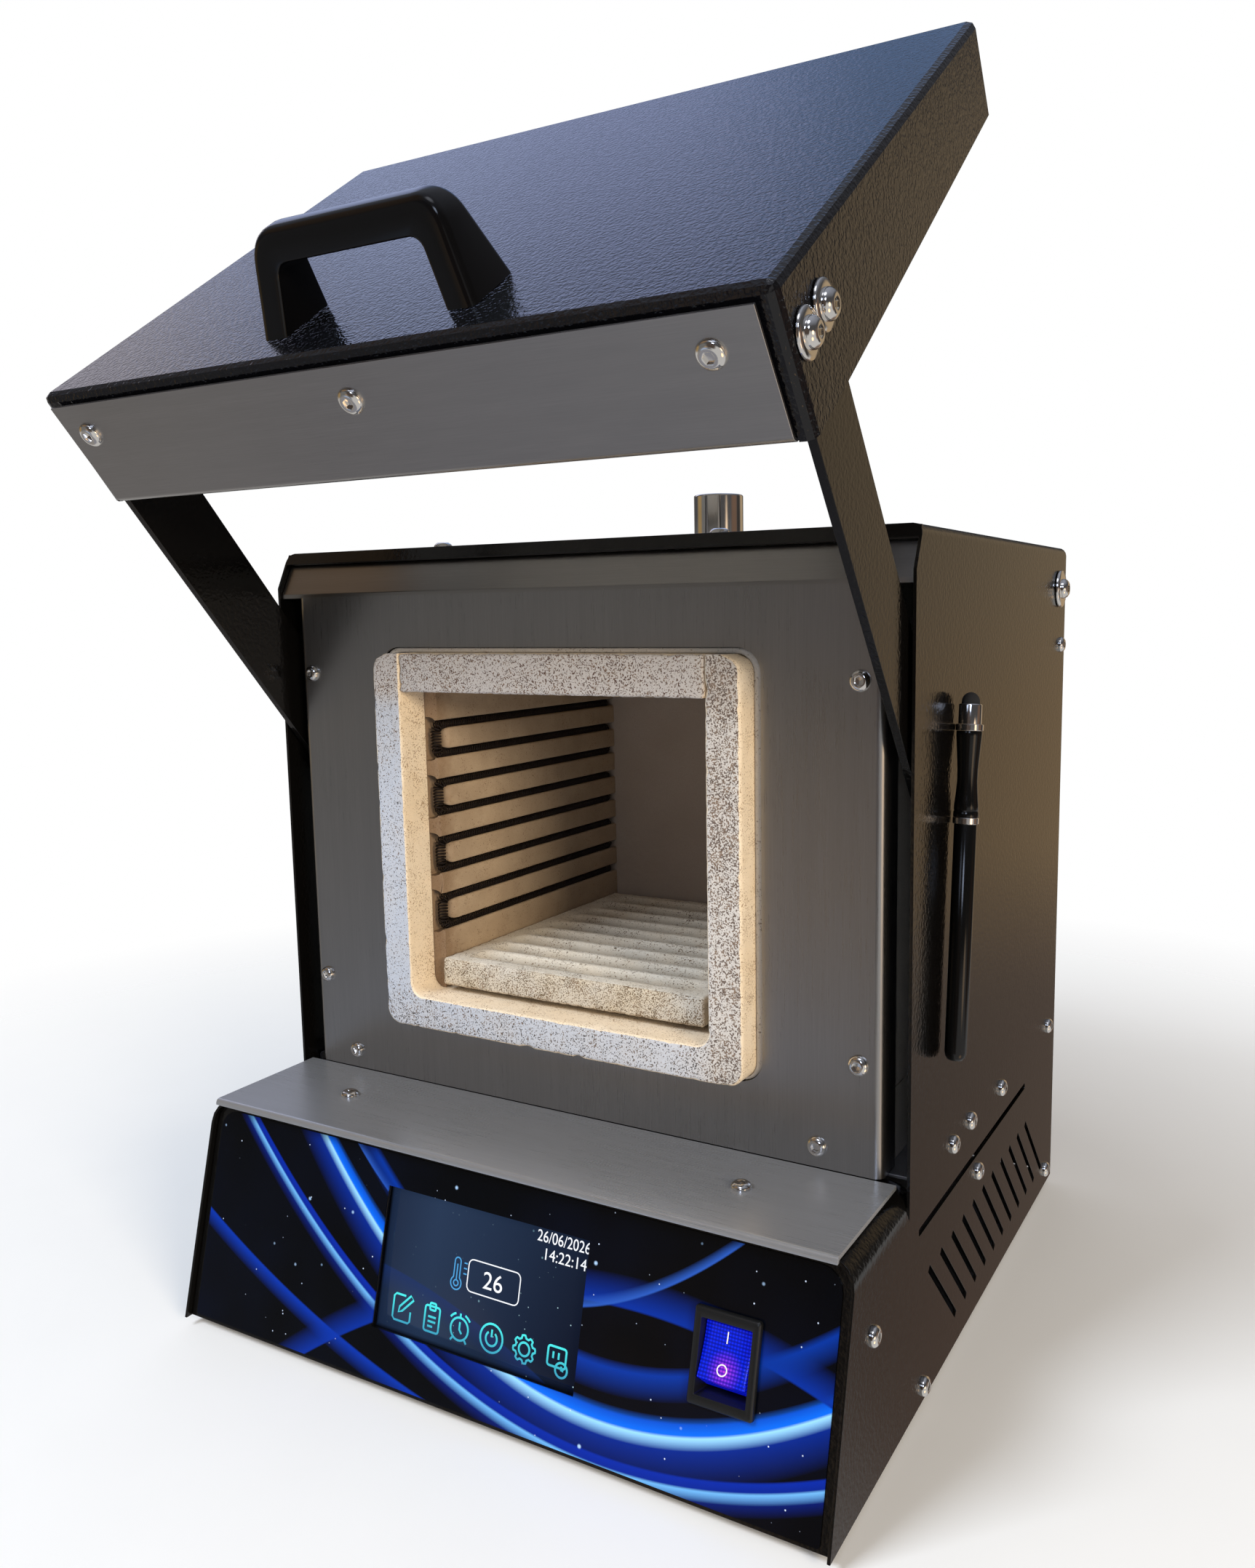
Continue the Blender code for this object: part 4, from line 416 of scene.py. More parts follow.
def pitted(look, base, dull, speck, density, pit, grain=1.0, crowd=None):
    """Adds the pits. A crowd value from 0 to 1 makes them closer together there."""
    fine = look.noise(0.7 * grain, 3, offset=11.0, rough=0.6)
    base = look.mix(fine.ramp(0.4, 0.62, 0.0, 0.35), base, dull)
    pits = look.noise(0.72 * grain, 2.0, offset=3.0, rough=0.6)
    if crowd is None:
        crowd = look.noise(9.0, 2, offset=31.0).ramp(0.3, 0.7)
    mask = (pits + (crowd - 0.5) * 0.11).ramp(density, density + 0.022)
    lighter = look.mix(0.55, speck, (0.3, 0.2, 0.13))
    dark = look.mix(look.noise(3.0, 1, offset=70.0).ramp(0.42, 0.62), speck, lighter)
    look.colour(look.mix(mask * 0.93, base, dark))
    look.bump(fine * 0.35 - mask, pit)
    look.bump(look.noise(5.0, 2, offset=8.0), 0.25)
    return look


def muffle_face():
    """The muffle's front: bluish white on the left and below, a painted cool light, with a painted warm
    light on the right, where it is also crowded with pits.
    """
    look = Look("speckled_look", (0.6, 0.6, 0.62), 0.95)
    x, z = look.axis("X"), look.axis("Z") - 4.0
    right, high = x.ramp(66.0, 76.0), z.ramp(262.0, 270.0)
    # Painted light: a cool bluish tint on the left and a warm tint on the right side
    base = look.mix(x.ramp(-80.0, 70.0), (0.5, 0.545, 0.635), (0.62, 0.63, 0.67))
    base = look.mix(right, base, (0.66, 0.62, 0.58))
    base = look.mix(high * 0.7, base, (0.56, 0.5, 0.45))
    cloud = look.noise(17.0, 3, offset=31.0)
    base = look.mix(cloud.ramp(0.4, 0.7, 0.0, 0.3), base, (0.6, 0.55, 0.5))
    low = z.ramp(150.0, 136.0, 0.42, 0.72)
    crowd = (right * 1.25).most(high * 0.85).most(low) + (cloud - 0.5) * 1.3
    speck = look.mix(high, (0.04, 0.03, 0.026), (0.085, 0.035, 0.02))
    speck = look.mix(right, speck, (0.11, 0.072, 0.055))
    return pitted(look, base, (0.47, 0.44, 0.42), speck, 0.6, 0.13, 0.86, crowd)


def heater_ceramic():
    """The heater boards' beige ceramic, browner at their front ends, with painted shade that makes it
    duller toward the rear of the chamber.
    """
    look = Look("beige_look", (0.4, 0.3, 0.2), 0.95)
    y = look.axis("Y")
    base = look.mix(look.noise(14.0, 3).ramp(0.35, 0.65), (0.4, 0.3, 0.205), (0.47, 0.36, 0.25))
    front = (y + (look.noise(3.0, 2, offset=6.0) - 0.5) * 9.0).ramp(-58.5, -50.0, 1.0, 0.0)
    base = look.mix(front * 0.7, base, (0.22, 0.13, 0.07))
    # Painted shade: darker toward the rear of the chamber
    base = look.mix(y.ramp(-30.0, 80.0, 0.0, 0.3), base, (0.3, 0.22, 0.15))
    return pitted(look, base, (0.36, 0.27, 0.18), (0.16, 0.09, 0.05), 0.655, 0.07, 0.9)


def tray_top():
    """The tray's ribs: a painted highlight on their crests, with painted shade in their duller valleys.
    """
    look = Look("tray_look", (0.62, 0.58, 0.5), 0.95)
    cloud = look.noise(20.0, 3)
    # Painted light: pale on the rib crests and painted shade in the valleys, set by height
    painted_crest_light = (look.axis("Z") + (cloud - 0.5) * 1.4).ramp(152.0, 154.9)
    base = look.mix(painted_crest_light, (0.33, 0.3, 0.25), (0.78, 0.74, 0.66))
    base = look.mix(cloud.ramp(0.45, 0.75, 0.0, 0.5), base, (0.6, 0.5, 0.37))
    return pitted(look, base, (0.46, 0.4, 0.31), (0.12, 0.08, 0.05), 0.625, 0.12)


def circuit_board():
    look = Look("circuit_board_look", (0.01, 0.12, 0.05), 0.5)
    tracks = look.noise(1.2, 1, (1.0, 1.0, 7.0))
    look.colour(look.mix(tracks.ramp(0.5, 0.55), (0.008, 0.1, 0.045), (0.02, 0.2, 0.09)))
    look.bump(tracks, 0.04)
    return look


def sweep(look, curve, over, under):
    """How bright a sweeping band is: its curve is a, b and c of height = a + b x + c x squared, and it
    fades over so many millimetres above the curve and under so many below it."""
    a, b, c = curve
    x = look.axis("X")
    away = look.axis("Z") - ((x * c + b) * x + a)
    return away.ramp(0.0, over, 1.0, 0.0) * away.ramp(-under, 0.0)


# The film's bands: the curve, the fade above and below it, and the colour
FILM_BANDS = (
    ((33.0, -0.42, 0.0036), 0.9, 21.0, (0.0, 0.03, 0.4)),
    ((29.5, -0.42, 0.0036), 6.0, 1.0, (0.0, 0.14, 0.85)),
    ((28.5, -0.42, 0.0036), 1.0, 4.2, (0.3, 0.66, 0.95)),
    ((14.0, -0.3, 0.0025), 0.8, 11.0, (0.0, 0.02, 0.34)),
    ((10.5, -0.3, 0.0025), 0.9, 3.4, (0.14, 0.42, 0.8)),
    ((45.0, 0.34, -0.0023), 11.0, 0.8, (0.0, 0.025, 0.3)),
    ((52.0, -0.22, 0.0052), 4.0, 0.7, (0.02, 0.09, 0.45)),
    ((48.5, -0.47, 0.0042), 3.0, 9.0, (0.0, 0.03, 0.3)),
    ((-2.0, -0.16, 0.0012), 0.8, 7.0, (0.0, 0.03, 0.36)),
)


def film_print():
    """Night blue film with our own sweeping light bands and small dots."""
    look = Look("film_look", (0.002, 0.003, 0.006), 0.2, on_console=True, Specular_IOR_Level=0.22)
    cloud = look.noise(60.0, 2).ramp(0.4, 0.7)
    shade = look.mix(cloud, (0.0006, 0.001, 0.0022), (0.001, 0.0022, 0.008))
    for curve, over, under, colour in FILM_BANDS:
        shade = look.mix(sweep(look, curve, over, under), shade, colour)
    for dots in ((4.5, 0.15, 0.36, 0.45, 3.0), (13.0, 0.3, 0.95, 0.35, 41.0)):
        spot, hue = look.dots(*dots)
        shade = look.mix(spot, shade, look.mix(hue, (0.35, 0.6, 0.95), (0.75, 0.8, 0.95)))
    look.colour(shade)
    look.rough(look.noise(9.0, 3), 0.18, 0.25)
    look.bump(look.noise(0.9, 2), 0.005)
    return look


def screen_glow():
    """The lit screen: a dusky blue field, dimmer to one side, with faint dots."""
    look = Look("screen_look", (0.003, 0.004, 0.007), 0.12, on_console=True, Specular_IOR_Level=0.3)
    x, z = look.axis("X"), look.axis("Z")
    side = (x + z * -0.35).ramp(-50.0, 40.0)
    shade = look.mix(side, (0.017, 0.036, 0.082), (0.0015, 0.0028, 0.011))
    shade = look.mix(x.ramp(-49.0, -24.0, 1.0, 0.0) * 0.7, shade, (0.004, 0.009, 0.03))
    band = sweep(look, (34.0, -0.32, -0.002), 0.6, 9.0)
    shade = look.mix(band * 0.55, shade, (0.008, 0.028, 0.15))
    corner = (x - z).ramp(-55.0, 0.0, 0.12, 1.0)
    for dots in ((3.3, 0.12, 0.3, 0.5, 5.0), (7.0, 0.25, 0.55, 0.3, 23.0)):
        spot, hue = look.dots(*dots)
        shade = look.mix(spot * corner, shade, look.mix(hue, (0.25, 0.75, 0.9), (0.85, 0.95, 1.0)))
    edge = x.ramp(-48.6, -47.4, 1.0, 0.0).most(z.ramp(20.9, 22.6, 1.0, 0.0))
    look.glow(look.mix(edge, shade, (0.0004, 0.0006, 0.0012)))
    look.rough(look.noise(20.0, 2), 0.08, 0.16)
    look.bump(look.noise(14.0, 1), 0.01)
    return look


def rocker_glow():
    """Clear blue plastic over a fine moulded grid, with a small warm lamp behind."""
    look = Look("rocker_look", (0.0, 0.01, 0.32), 0.16, on_console=True, IOR=1.49)
    x, z = look.axis("X"), look.axis("Z")
    turns = TAU / 1.15
    rows = look.op("SINE", z * turns).ramp(-0.5, 0.5, 1.0, 0.25)
    columns = look.op("SINE", x * turns).ramp(-0.5, 0.5, 1.0, 0.45)
    grid = rows * columns
    lamp = look.op("POWER", (x - 106.6).reach(z - 47.0).ramp(0.0, 7.0, 1.0, 0.0), 1.6)
    blue = look.mix(grid, (0.0, 0.0, 0.16), (0.004, 0.012, 0.75))
    warm = look.mix(grid, (0.05, 0.0, 0.5), (0.85, 0.06, 0.5))
    look.glow(look.mix(lamp, blue, warm), 0.8)
    look.colour(look.mix(grid, (0.0, 0.004, 0.14), (0.0, 0.012, 0.34)))
    look.rough(look.noise(2.0, 2), 0.12, 0.2)
    look.bump(grid, 0.02)
    return look


def lit(name, colour, low, high):
    """A lit mark on the screen, uneven by a little."""
    look = Look(name, colour, 0.3)
    look.glow(look.mix(look.noise(8.0), low, high))
    return look


def lit_icons():
    look = Look("icon_look", (0.02, 0.1, 0.12), 0.3, on_console=True)
    look.glow(look.mix(look.axis("Z").ramp(25.0, 35.5), (0.02, 0.25, 0.42), (0.05, 0.78, 0.76)))
    return look


ACROSS, UPWARD = (60.0, 1.0, 1.0), (1.0, 1.0, 60.0)
LOOKS = {
    "paint": powder_coat("powder_coat_look", (0.0032, 0.0029, 0.0027), 0.9, 0.035, (0.11, 0.16)),
    "paint_door": powder_coat("powder_coat_door_look", (0.0035, 0.0036, 0.005), 0.8, 0.09, (0.1, 0.14)),
    "upright": brushed("steel_upright_look", UPWARD, (0.43, 0.425, 0.42), 0.0, (0.25, 0.36), 0.98),
    "along": brushed("steel_along_look", ACROSS, (0.42, 0.41, 0.395)),
    "shelf": brushed("steel_shelf_look", ACROSS, (0.45, 0.46, 0.485), 0.0, (0.24, 0.34), 0.7),
    "liner": brushed("steel_liner_look", ACROSS, (0.42, 0.41, 0.4), SWING),
    "speckled": muffle_face(),
    "beige": heater_ceramic(),
    "tray": tray_top(),
    "board": circuit_board(),
    "film": film_print(),
    "screen": screen_glow(),
    "rocker": rocker_glow(),
    "icon": lit_icons(),
    "thermometer": lit("thermometer_look", (0.02, 0.05, 0.1), (0.05, 0.3, 0.62), (0.06, 0.34, 0.66)),
    "digit": lit("digit_look", (0.1, 0.1, 0.1), (0.82, 0.86, 0.92), (0.9, 0.92, 0.96)),
}
# The pale tone, the warm tone, the specks' tone, the pits' threshold, their depth and the grain
for key, *values in (
    ("cream", (0.86, 0.71, 0.52), (0.9, 0.77, 0.6), (0.42, 0.28, 0.16), 0.61, 0.06, 0.8),
    ("wall", (0.4, 0.33, 0.28), (0.43, 0.36, 0.31), (0.3, 0.22, 0.17), 0.7, 0.03),
    ("tray_face", (0.64, 0.6, 0.54), (0.6, 0.5, 0.36), (0.14, 0.09, 0.045), 0.545, 0.2, 0.72),
    ("fibre", (0.74, 0.7, 0.63), (0.77, 0.72, 0.64), (0.5, 0.42, 0.33), 0.72, 0.1),
    ("gasket", (0.5, 0.49, 0.48), (0.54, 0.51, 0.48), (0.2, 0.17, 0.15), 0.64, 0.1),
):
    LOOKS[key] = ceramic(key + "_look", *values)
# The material's name, tone, roughness, metal, grain size, spread of gloss, grain depth and shine
for key, *values in (
    ("chrome", "chrome", (0.84, 0.82, 0.79), 0.09, 1.0, 0.6, 0.04),
    ("dark_chrome", "ring", (0.78, 0.76, 0.74), 0.1, 1.0, 0.8, 0.04),
    ("handle", "moulded_handle", (0.0022, 0.0021, 0.0025), 0.12, 0.0, 0.5, 0.05, 0.003, 0.36),
    ("frame", "switch_frame", (0.008, 0.0085, 0.009), 0.33, 0.0, 0.35, 0.08, 0.02),
    ("plastic", "dark_plastic", (0.02, 0.02, 0.021), 0.45, 0.0, 0.5, 0.08, 0.02),
    ("rubber", "rubber", (0.017, 0.017, 0.018), 0.75, 0.0, 0.6, 0.1, 0.03),
    ("anodised", "anodised", (0.003, 0.003, 0.0032), 0.12, 0.0, 0.3, 0.06, 0.003, 0.4),
    ("wire", "heating_wire", (0.035, 0.026, 0.022), 0.55, 0.7, 0.4, 0.15, 0.02),
    ("zinc", "galvanised", (0.5, 0.51, 0.53), 0.45, 1.0, 9.0, 0.15, 0.02),
    ("aluminium", "aluminium", (0.6, 0.6, 0.61), 0.35, 1.0, 1.0, 0.1, 0.01),
    ("mark", "mark", (0.85, 0.82, 0.76), 0.5, 0.0, 1.0, 0.05),
):
    LOOKS[key] = plain(values[0] + "_look", *values[1:])


# ---------------------------------------------------------------- camera, light and floor
def add_camera():
    """The photograph's camera, fitted to the casing's and the door's corners."""
    azimuth, pitch, roll = 0.513, 0.130, -0.015
    level = Vector((math.cos(azimuth), math.sin(azimuth), 0.0))
    forward = Vector((-math.sin(azimuth), math.cos(azimuth), 0.0))
    ahead = forward * math.cos(pitch) - Vector((0.0, 0.0, math.sin(pitch)))
    above = level.cross(ahead)
    right = level * math.cos(roll) + above * math.sin(roll)
    up = above * math.cos(roll) - level * math.sin(roll)
    data = bpy.data.cameras.new("camera")
    data.sensor_fit = "VERTICAL"
    data.sensor_height = 36.0
    data.sensor_width = 36.0 * 1725 / 2156
    data.lens = 28.41
    data.shift_x, data.shift_y = -0.0263, -0.0053
    data.clip_start = 0.01
    camera = bpy.data.objects.new("camera", data)
    camera.matrix_world = Matrix((right, up, -ahead)).transposed().to_4x4()
    camera.location = (0.2837, -0.4785, 0.3042)
    bpy.context.scene.collection.objects.link(camera)
    bpy.context.scene.camera = camera


def add_softbox(name, place, size, power, colour):
    """A rectangular lamp aimed at the furnace's middle, which gloss and metal don't see."""
    data = bpy.data.lights.new(name, "AREA")
    data.shape = "RECTANGLE"
    data.size, data.size_y = size
    data.energy = power
    data.color = colour
    lamp = bpy.data.objects.new(name, data)
    lamp.location = place
    lamp.visible_glossy = False
    aim = Vector((0.0, -0.05, 0.2)) - Vector(place)
    lamp.rotation_euler = aim.to_track_quat("-Z", "Y").to_euler()
    bpy.context.scene.collection.objects.link(lamp)


def add_world():
    """White where the background shows, also in metal and glass, and a plain level for the light."""
    world = bpy.data.worlds.new("studio")
    bpy.context.scene.world = world
    world.use_nodes = True
    world.cycles.sampling_method = "NONE"
    tree = world.node_tree
    tree.nodes.clear()
    rays = node(tree, "LightPath", {}).outputs
    seen = rays["Is Camera Ray"]
    for kind in ("Is Glossy Ray", "Is Transmission Ray"):
        seen = node(tree, "Math", {0: seen, 1: rays[kind]}, operation="MAXIMUM").outputs[0]
    light = node(tree, "Background", {"Color": (0.93, 0.95, 1.0), "Strength": 0.42}).outputs[0]
    white = node(tree, "Background", {"Color": (1.0, 1.0, 1.0), "Strength": 1.0}).outputs[0]
    shown = node(tree, "MixShader", {0: seen, 1: light, 2: white}).outputs[0]
    node(tree, "OutputWorld", {"Surface": shown})


def add_floor():
    """A pale table top that fades into the white background."""
    rings, reach = 24, 2.6
    skin = loft([ring(reach * (i / rings) ** 1.4, 0.0, 72) for i in range(rings + 1)], caps=False)
    look = Look("floor_look", (0.93, 0.93, 0.93), 0.9)
    look.colour(look.mix(look.noise(60.0, 2), (0.92, 0.92, 0.92), (0.95, 0.95, 0.95)))
    floor = add_piece("floor", *skin, Matrix.Identity(4), look)
    look.fade(look.axis("X").reach(look.axis("Y")).ramp(270.0, 760.0), look.shader.outputs[0])
    floor.visible_glossy = False


# What gloss and metal see of the room: the way to each patch, its full and outer angle, its colour
PATCHES = (
    ((-0.62, -0.76, -0.14), 24.0, 36.0, (0.16, 0.155, 0.15)),
    ((-0.36, -0.87, -0.38), 8.0, 20.0, (0.14, 0.14, 0.145)),
    ((-0.68, -0.69, -0.4), 8.0, 20.0, (0.21, 0.21, 0.22)),
    ((-0.52, -0.76, -0.45), 5.0, 14.0, (0.38, 0.46, 0.62)),
    ((-0.36, -0.91, -0.16), 3.0, 11.0, (0.38, 0.275, 0.185)),
    ((-0.78, -0.25, -0.58), 12.0, 24.0, (0.27, 0.25, 0.235)),
    ((-0.5, -0.32, -0.8), 12.0, 24.0, (0.25, 0.25, 0.28)),
    ((-0.95, -0.3, 0.1), 8.0, 17.0, (0.32, 0.22, 0.1)),
    ((0.06, -1.0, 0.02), 16.0, 26.0, (0.08, 0.06, 0.05)),
    ((-0.5, -0.52, 0.69), 12.0, 24.0, (0.22, 0.145, 0.085)),
    ((0.2, 0.86, -0.46), 10.0, 22.0, (0.19, 0.13, 0.1)),
    ((0.25, 0.96, -0.04), 10.0, 18.0, (0.42, 0.29, 0.165)),
    ((0.21, 0.92, -0.33), 5.0, 12.0, (0.19, 0.14, 0.11)),
    ((0.31, 0.9, 0.28), 9.0, 18.0, (0.4, 0.3, 0.19)),
    ((0.95, 0.28, 0.02), 12.0, 22.0, (0.16, 0.1, 0.07)),
    ((0.72, 0.68, 0.02), 8.0, 16.0, (0.04, 0.034, 0.03)),
    ((0.9, -0.42, -0.02), 6.0, 12.0, (2.5, 1.85, 1.25)),
    ((-0.58, 0.64, 0.46), 6.0, 14.0, (0.21, 0.21, 0.24)),
    ((-0.74, 0.58, 0.32), 9.0, 14.0, (0.13, 0.12, 0.11)),
    ((-0.34, 0.62, 0.71), 10.0, 24.0, (0.31, 0.46, 0.8)),
    ((-0.28, 0.63, 0.73), 2.0, 9.0, (0.17, 0.28, 0.52)),
    ((-0.8, 0.3, 0.53), 7.0, 15.0, (0.8, 0.76, 0.87)),
    ((-0.57, 0.48, 0.67), 5.0, 16.0, (0.62, 0.72, 1.1)),
    ((-0.43, 0.5, 0.75), 3.0, 11.0, (0.54, 0.62, 1.0)),
    ((-0.33, 0.84, 0.43), 5.0, 12.0, (0.8, 0.9, 1.18)),
    ((0.1, -0.5, 0.86), 5.0, 13.0, (2.2, 2.3, 2.6)),
    ((0.28, -0.84, 0.44), 4.0, 8.0, (5.0, 5.8, 7.6)),
    ((0.75, -0.3, -0.58), 6.0, 13.0, (2.2, 1.5, 0.9)),
)
OPEN_GAP = ((-0.56, 0.83, -0.04), 12.0, 22.0)


def add_room():
    """A large shell that only gloss and metal see: a dim room, a warm wall, a cool window and an open
    gap behind the furnace, through which they see the white background."""
    radius, rings = 4.0, 32
    angles = [math.pi * i / rings for i in range(1, rings)]
    skin = loft([ring(radius * math.sin(a), radius * math.cos(a), 64) for a in angles])
    look = Look("room_look", (0.1, 0.1, 0.1), 1.0)
    toward = look.node("VectorMath", {0: look.place}, operation="NORMALIZE").outputs[0]

    def patch(way, inner, outer):
        """1 within the inner angle of a way, falling to 0 at the outer one."""
        ways = {0: toward, 1: Vector(way).normalized()}
        facing = look.node("VectorMath", ways, operation="DOT_PRODUCT").outputs["Value"]
        return Value(look, facing).ramp(math.cos(math.radians(outer)), math.cos(math.radians(inner)))

    rise = Value(look, look.node("SeparateXYZ", {0: toward}).outputs[2])
    rise = rise + (look.noise(900.0, 2) - 0.5) * 0.1
    shade = look.mix(rise.ramp(-0.04, 0.16), (0.55, 0.54, 0.53), (0.07, 0.068, 0.07))
    shade = look.mix(rise.ramp(0.5, 0.95), shade, (0.3, 0.32, 0.38))
    for way, inner, outer, colour in PATCHES:
        shade = look.mix(patch(way, inner, outer), shade, colour)
    look.fade(patch(*OPEN_GAP), look.node("Emission", {"Color": shade}).outputs[0])
    room = add_piece("room", *skin, shift(0.0, -0.05, 0.25), look, sharp=0.0)
    room.visible_camera = False
    room.visible_diffuse = False
    room.visible_shadow = False
    room.visible_transmission = False


# ---------------------------------------------------------------- pieces
def add_piece(name, verts, faces, place, look, body=None, stands_for=(), slot=None, sharp=38.0,
              marks=None):
    """A mesh piece from points and faces in a frame. look is a key of LOOKS, a look or a pair of keys,
    with marks to give each face's number in the pair."""
    mesh = bpy.data.meshes.new(name)
    mesh.from_pydata([place @ Vector(v) for v in verts], [], faces)
    maker = bmesh.new()
    maker.from_mesh(mesh)
    bmesh.ops.recalc_face_normals(maker, faces=maker.faces)
    maker.to_mesh(mesh)
    maker.free()
    for each in look if isinstance(look, tuple) else (look,):
        mesh.materials.append((each if isinstance(each, Look) else LOOKS[each]).material)
    if marks:
        mesh.polygons.foreach_set("material_index", marks)
    return finish_piece(name, mesh, body, stands_for, slot, sharp)


def finish_piece(name, mesh, body, stands_for=(), slot=None, sharp=38.0):
    mesh.shade_smooth()
    if sharp:
        mesh.set_sharp_from_angle(angle=math.radians(sharp))
    made = bpy.data.objects.new(name, mesh)
    bpy.context.scene.collection.objects.link(made)
    if body:
        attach(made, body)
    if stands_for:
        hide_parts(*stands_for)
    return made


def modify(obj, kind, **settings):
    made = obj.modifiers.new(kind.lower(), kind)
    for key, value in settings.items():
        setattr(made, key, value)


def dress(name, look, width):
    """Gives a CAD node its look, and rounds its edges by this width."""
    obj = NODES[name]
    obj.data.materials.clear()
    obj.data.materials.append(LOOKS[look].material)
    if width:
        modify(obj, "WELD", merge_threshold=0.00001)
        modify(obj, "BEVEL", width=width * MM, segments=2, limit_method="ANGLE",
               angle_limit=math.radians(30.0))
        modify(obj, "WEIGHTED_NORMAL", weight=80)
    obj.data.shade_smooth()


def drill(obj, tool, place):
    """Cuts a hole out of a piece."""
    cutter = add_piece(obj.name + "_tool", *tool, place, ())
    modify(obj, "BOOLEAN", operation="DIFFERENCE", solver="EXACT", object=cutter)
    graph = bpy.context.evaluated_depsgraph_get()
    obj.data = bpy.data.meshes.new_from_object(obj.evaluated_get(graph))
    obj.modifiers.clear()
    obj.data.set_sharp_from_angle(angle=math.radians(40.0))
    modify(obj, "WEIGHTED_NORMAL", keep_sharp=True, weight=90)
    bpy.data.objects.remove(cutter)


# The CAD nodes that stay: the look, the width of the rounded edges and the nodes' names
DRESSED = (
    ("paint", 0.35, "casing"),
    ("paint", 0.25, "rear_panel"),
    ("paint", 0.2, "console_panel"),
    ("paint_door", 0.0, "door_pan"),
    ("paint", 0.5, "arm_left arm_right"),
    ("shelf", 0.3, "shelf"),
    ("liner", 0.3, "door_liner"),
    ("fibre", 0.8, "door_insulation insulation_floor insulation_left insulation_right"),
    ("fibre", 0.8, "insulation_rear insulation_roof"),
    ("film", 0.0, "overlay_film"),
    ("wall", 0.6, "muffle_rear_wall"),
    ("cream", 0.3, "thermocouple"),
    ("zinc", 0.3, "base_plate inner_floor"),
    ("board", 0.15, "controller_board"),
    ("aluminium", 0.4, "power_supply"),
    ("aluminium", 0.2, "heat_sink"),
    ("plastic", 0.4, "solid_state_relay terminal_block"),
    ("plastic", 0.5, "cable_gland"),
    ("rubber", 0.6, " ".join(name for name in NODES if name.startswith("foot_"))),
)


# Button-head screws with a hexagon socket
def socket_head(radius, height, key, depth):
    """The head alone, seated on z = 0, with its socket from the top."""
    steps, flat = 24, 0.62
    hexagon = []
    for k in range(steps):
        a = TAU * k / steps
        r = key / 2 / math.cos((a % (TAU / 6)) - TAU / 12)
        hexagon.append((r * math.cos(a), r * math.sin(a)))
    floor = height - depth
    rings = [[(share * x, share * y, z) for x, y in hexagon]
             for share, z in ((0.3, floor - 0.15), (1.0, floor), (1.0, height - 0.08), (1.1, height))]
    for share in (flat, 0.72, 0.82, 0.9, 0.96, 1.0):
        dome = 0.16 + 0.84 * math.sqrt(1 - share ** 2) / math.sqrt(1 - flat ** 2)
        rings.append(ring(radius * share, min(height * dome, height), steps))
    return loft(rings + [ring(radius * 0.985, -0.15, steps)])


def washer(radius, thick, rise=0.25):
    inner, top = 0.4 * radius, thick + rise
    return lathe([(inner, -0.1), (radius - 0.3, -0.1), (radius, 0.15), (radius, thick - 0.35),
                  (radius - 0.35, thick), (0.75 * radius, top), (inner, top)], 40)


def add_screws():
    """The small screws, each its own piece on the sheet that it holds."""
    side = ((228.5, 282.1), (222.1, 86.6), (129.2, 86.0), (79.3, 89.3), (54.6, 88.8), (91.8, 62.1),
            (223.5, 8.1), (-37.0, 56.9), (19.5, 5.5))
    front = ((131.0, 276.0), (131.0, 135.7), (114.8, 101.6))
    rear = [(x, z) for z in (14.0, 316.0, 165.0) for x in (-138.0, 138.0)]
    # Each row: the name, the frame and its out direction, the radius and the places
    paired = [[("side_screw_right", "right", 3.8, (150.0, y, z)),
               ("side_screw_left", "left", 3.8, (-150.0, y, z))] for y, z in side]
    paired += [[("front_screw_right", "front", 4.0, (x - 1.4, 1.2, z)),
                ("front_screw_left", "front", 3.6, (-x - 1.0, 1.2, z))] for x, z in front]
    rows = [row for pair in paired for row in pair]
    rows += [("shelf_screw", "up", 4.0, (x, -26.2, 93.1)) for x in (-95.2, 95.2)]
    rows += [("door_screw", "down", 4.7, (x, -253.3, -213.9)) for x in (-131.0, -2.6, 126.5)]
    rows += [("top_screw", "up", 4.0, (x, 17.0, 330.0)) for x in (-67.0, 67.0)]
    rows += [("rear_screw", "rear", 3.6, (x, 236.1, z)) for x, z in rear]
    numbers = {}
    for i, (name, way, radius, place) in enumerate(rows):
        numbers[name] = numbers.get(name, 0) + 1
        body, base = ("door", DOOR) if name == "door_screw" else ("furnace", ROOT)
        height = min(radius * 0.6, 2.1)
        head = socket_head(radius, height, radius * 0.72, height * 0.55)
        spun = base @ shift(*place) @ OUT[way] @ turn(0.37 * i, "Z")
        add_piece(f"{name}_{numbers[name]}", *head, spun, "chrome", body, (), "chrome", 50.0)


def add_bolts():
    """The arm bolts and the pivot bolts, each with its washer, shaft and nut."""
    for side_name, side in SIDES:
        bolts = [(f"arm_bolt_{end}_{side_name}", "door",
                  DOOR @ shift(side * 148.75, -249.4, z - PIVOT_Z),
                  [washer(7.3, 1.2), moved(socket_head(4.7, 3.0, 3.2, 1.5), shift(0, 0, 1.3)),
                   lathe([(2.5, -5.2), (2.5, 0.2)], 16), lathe([(4.6, -8.5), (4.6, -5.1)], 6)])
                 for end, z in (("low", 108.4), ("high", 123.4))]
        bolts.append((f"pivot_bolt_{side_name}", "furnace", ROOT @ shift(side * 150.3, PIVOT_Y, PIVOT_Z),
                      [washer(9.0, 1.5, 0.1), moved(socket_head(4.8, 2.85, 3.4, 1.5), shift(0, 0, 1.55)),
                       lathe([(4.0, -6.6), (4.0, 0.2)], 20), lathe([(7.0, -3.1), (7.0, -1.9)], 24),
                       lathe([(7.5, -10.6), (7.5, -6.7)], 6)]))
        for name, body, place, parts in bolts:
            add_piece(name + "_dressed", *join(parts), place @ OUT[side_name], "chrome", body, (name,),
                      "chrome", 50.0)


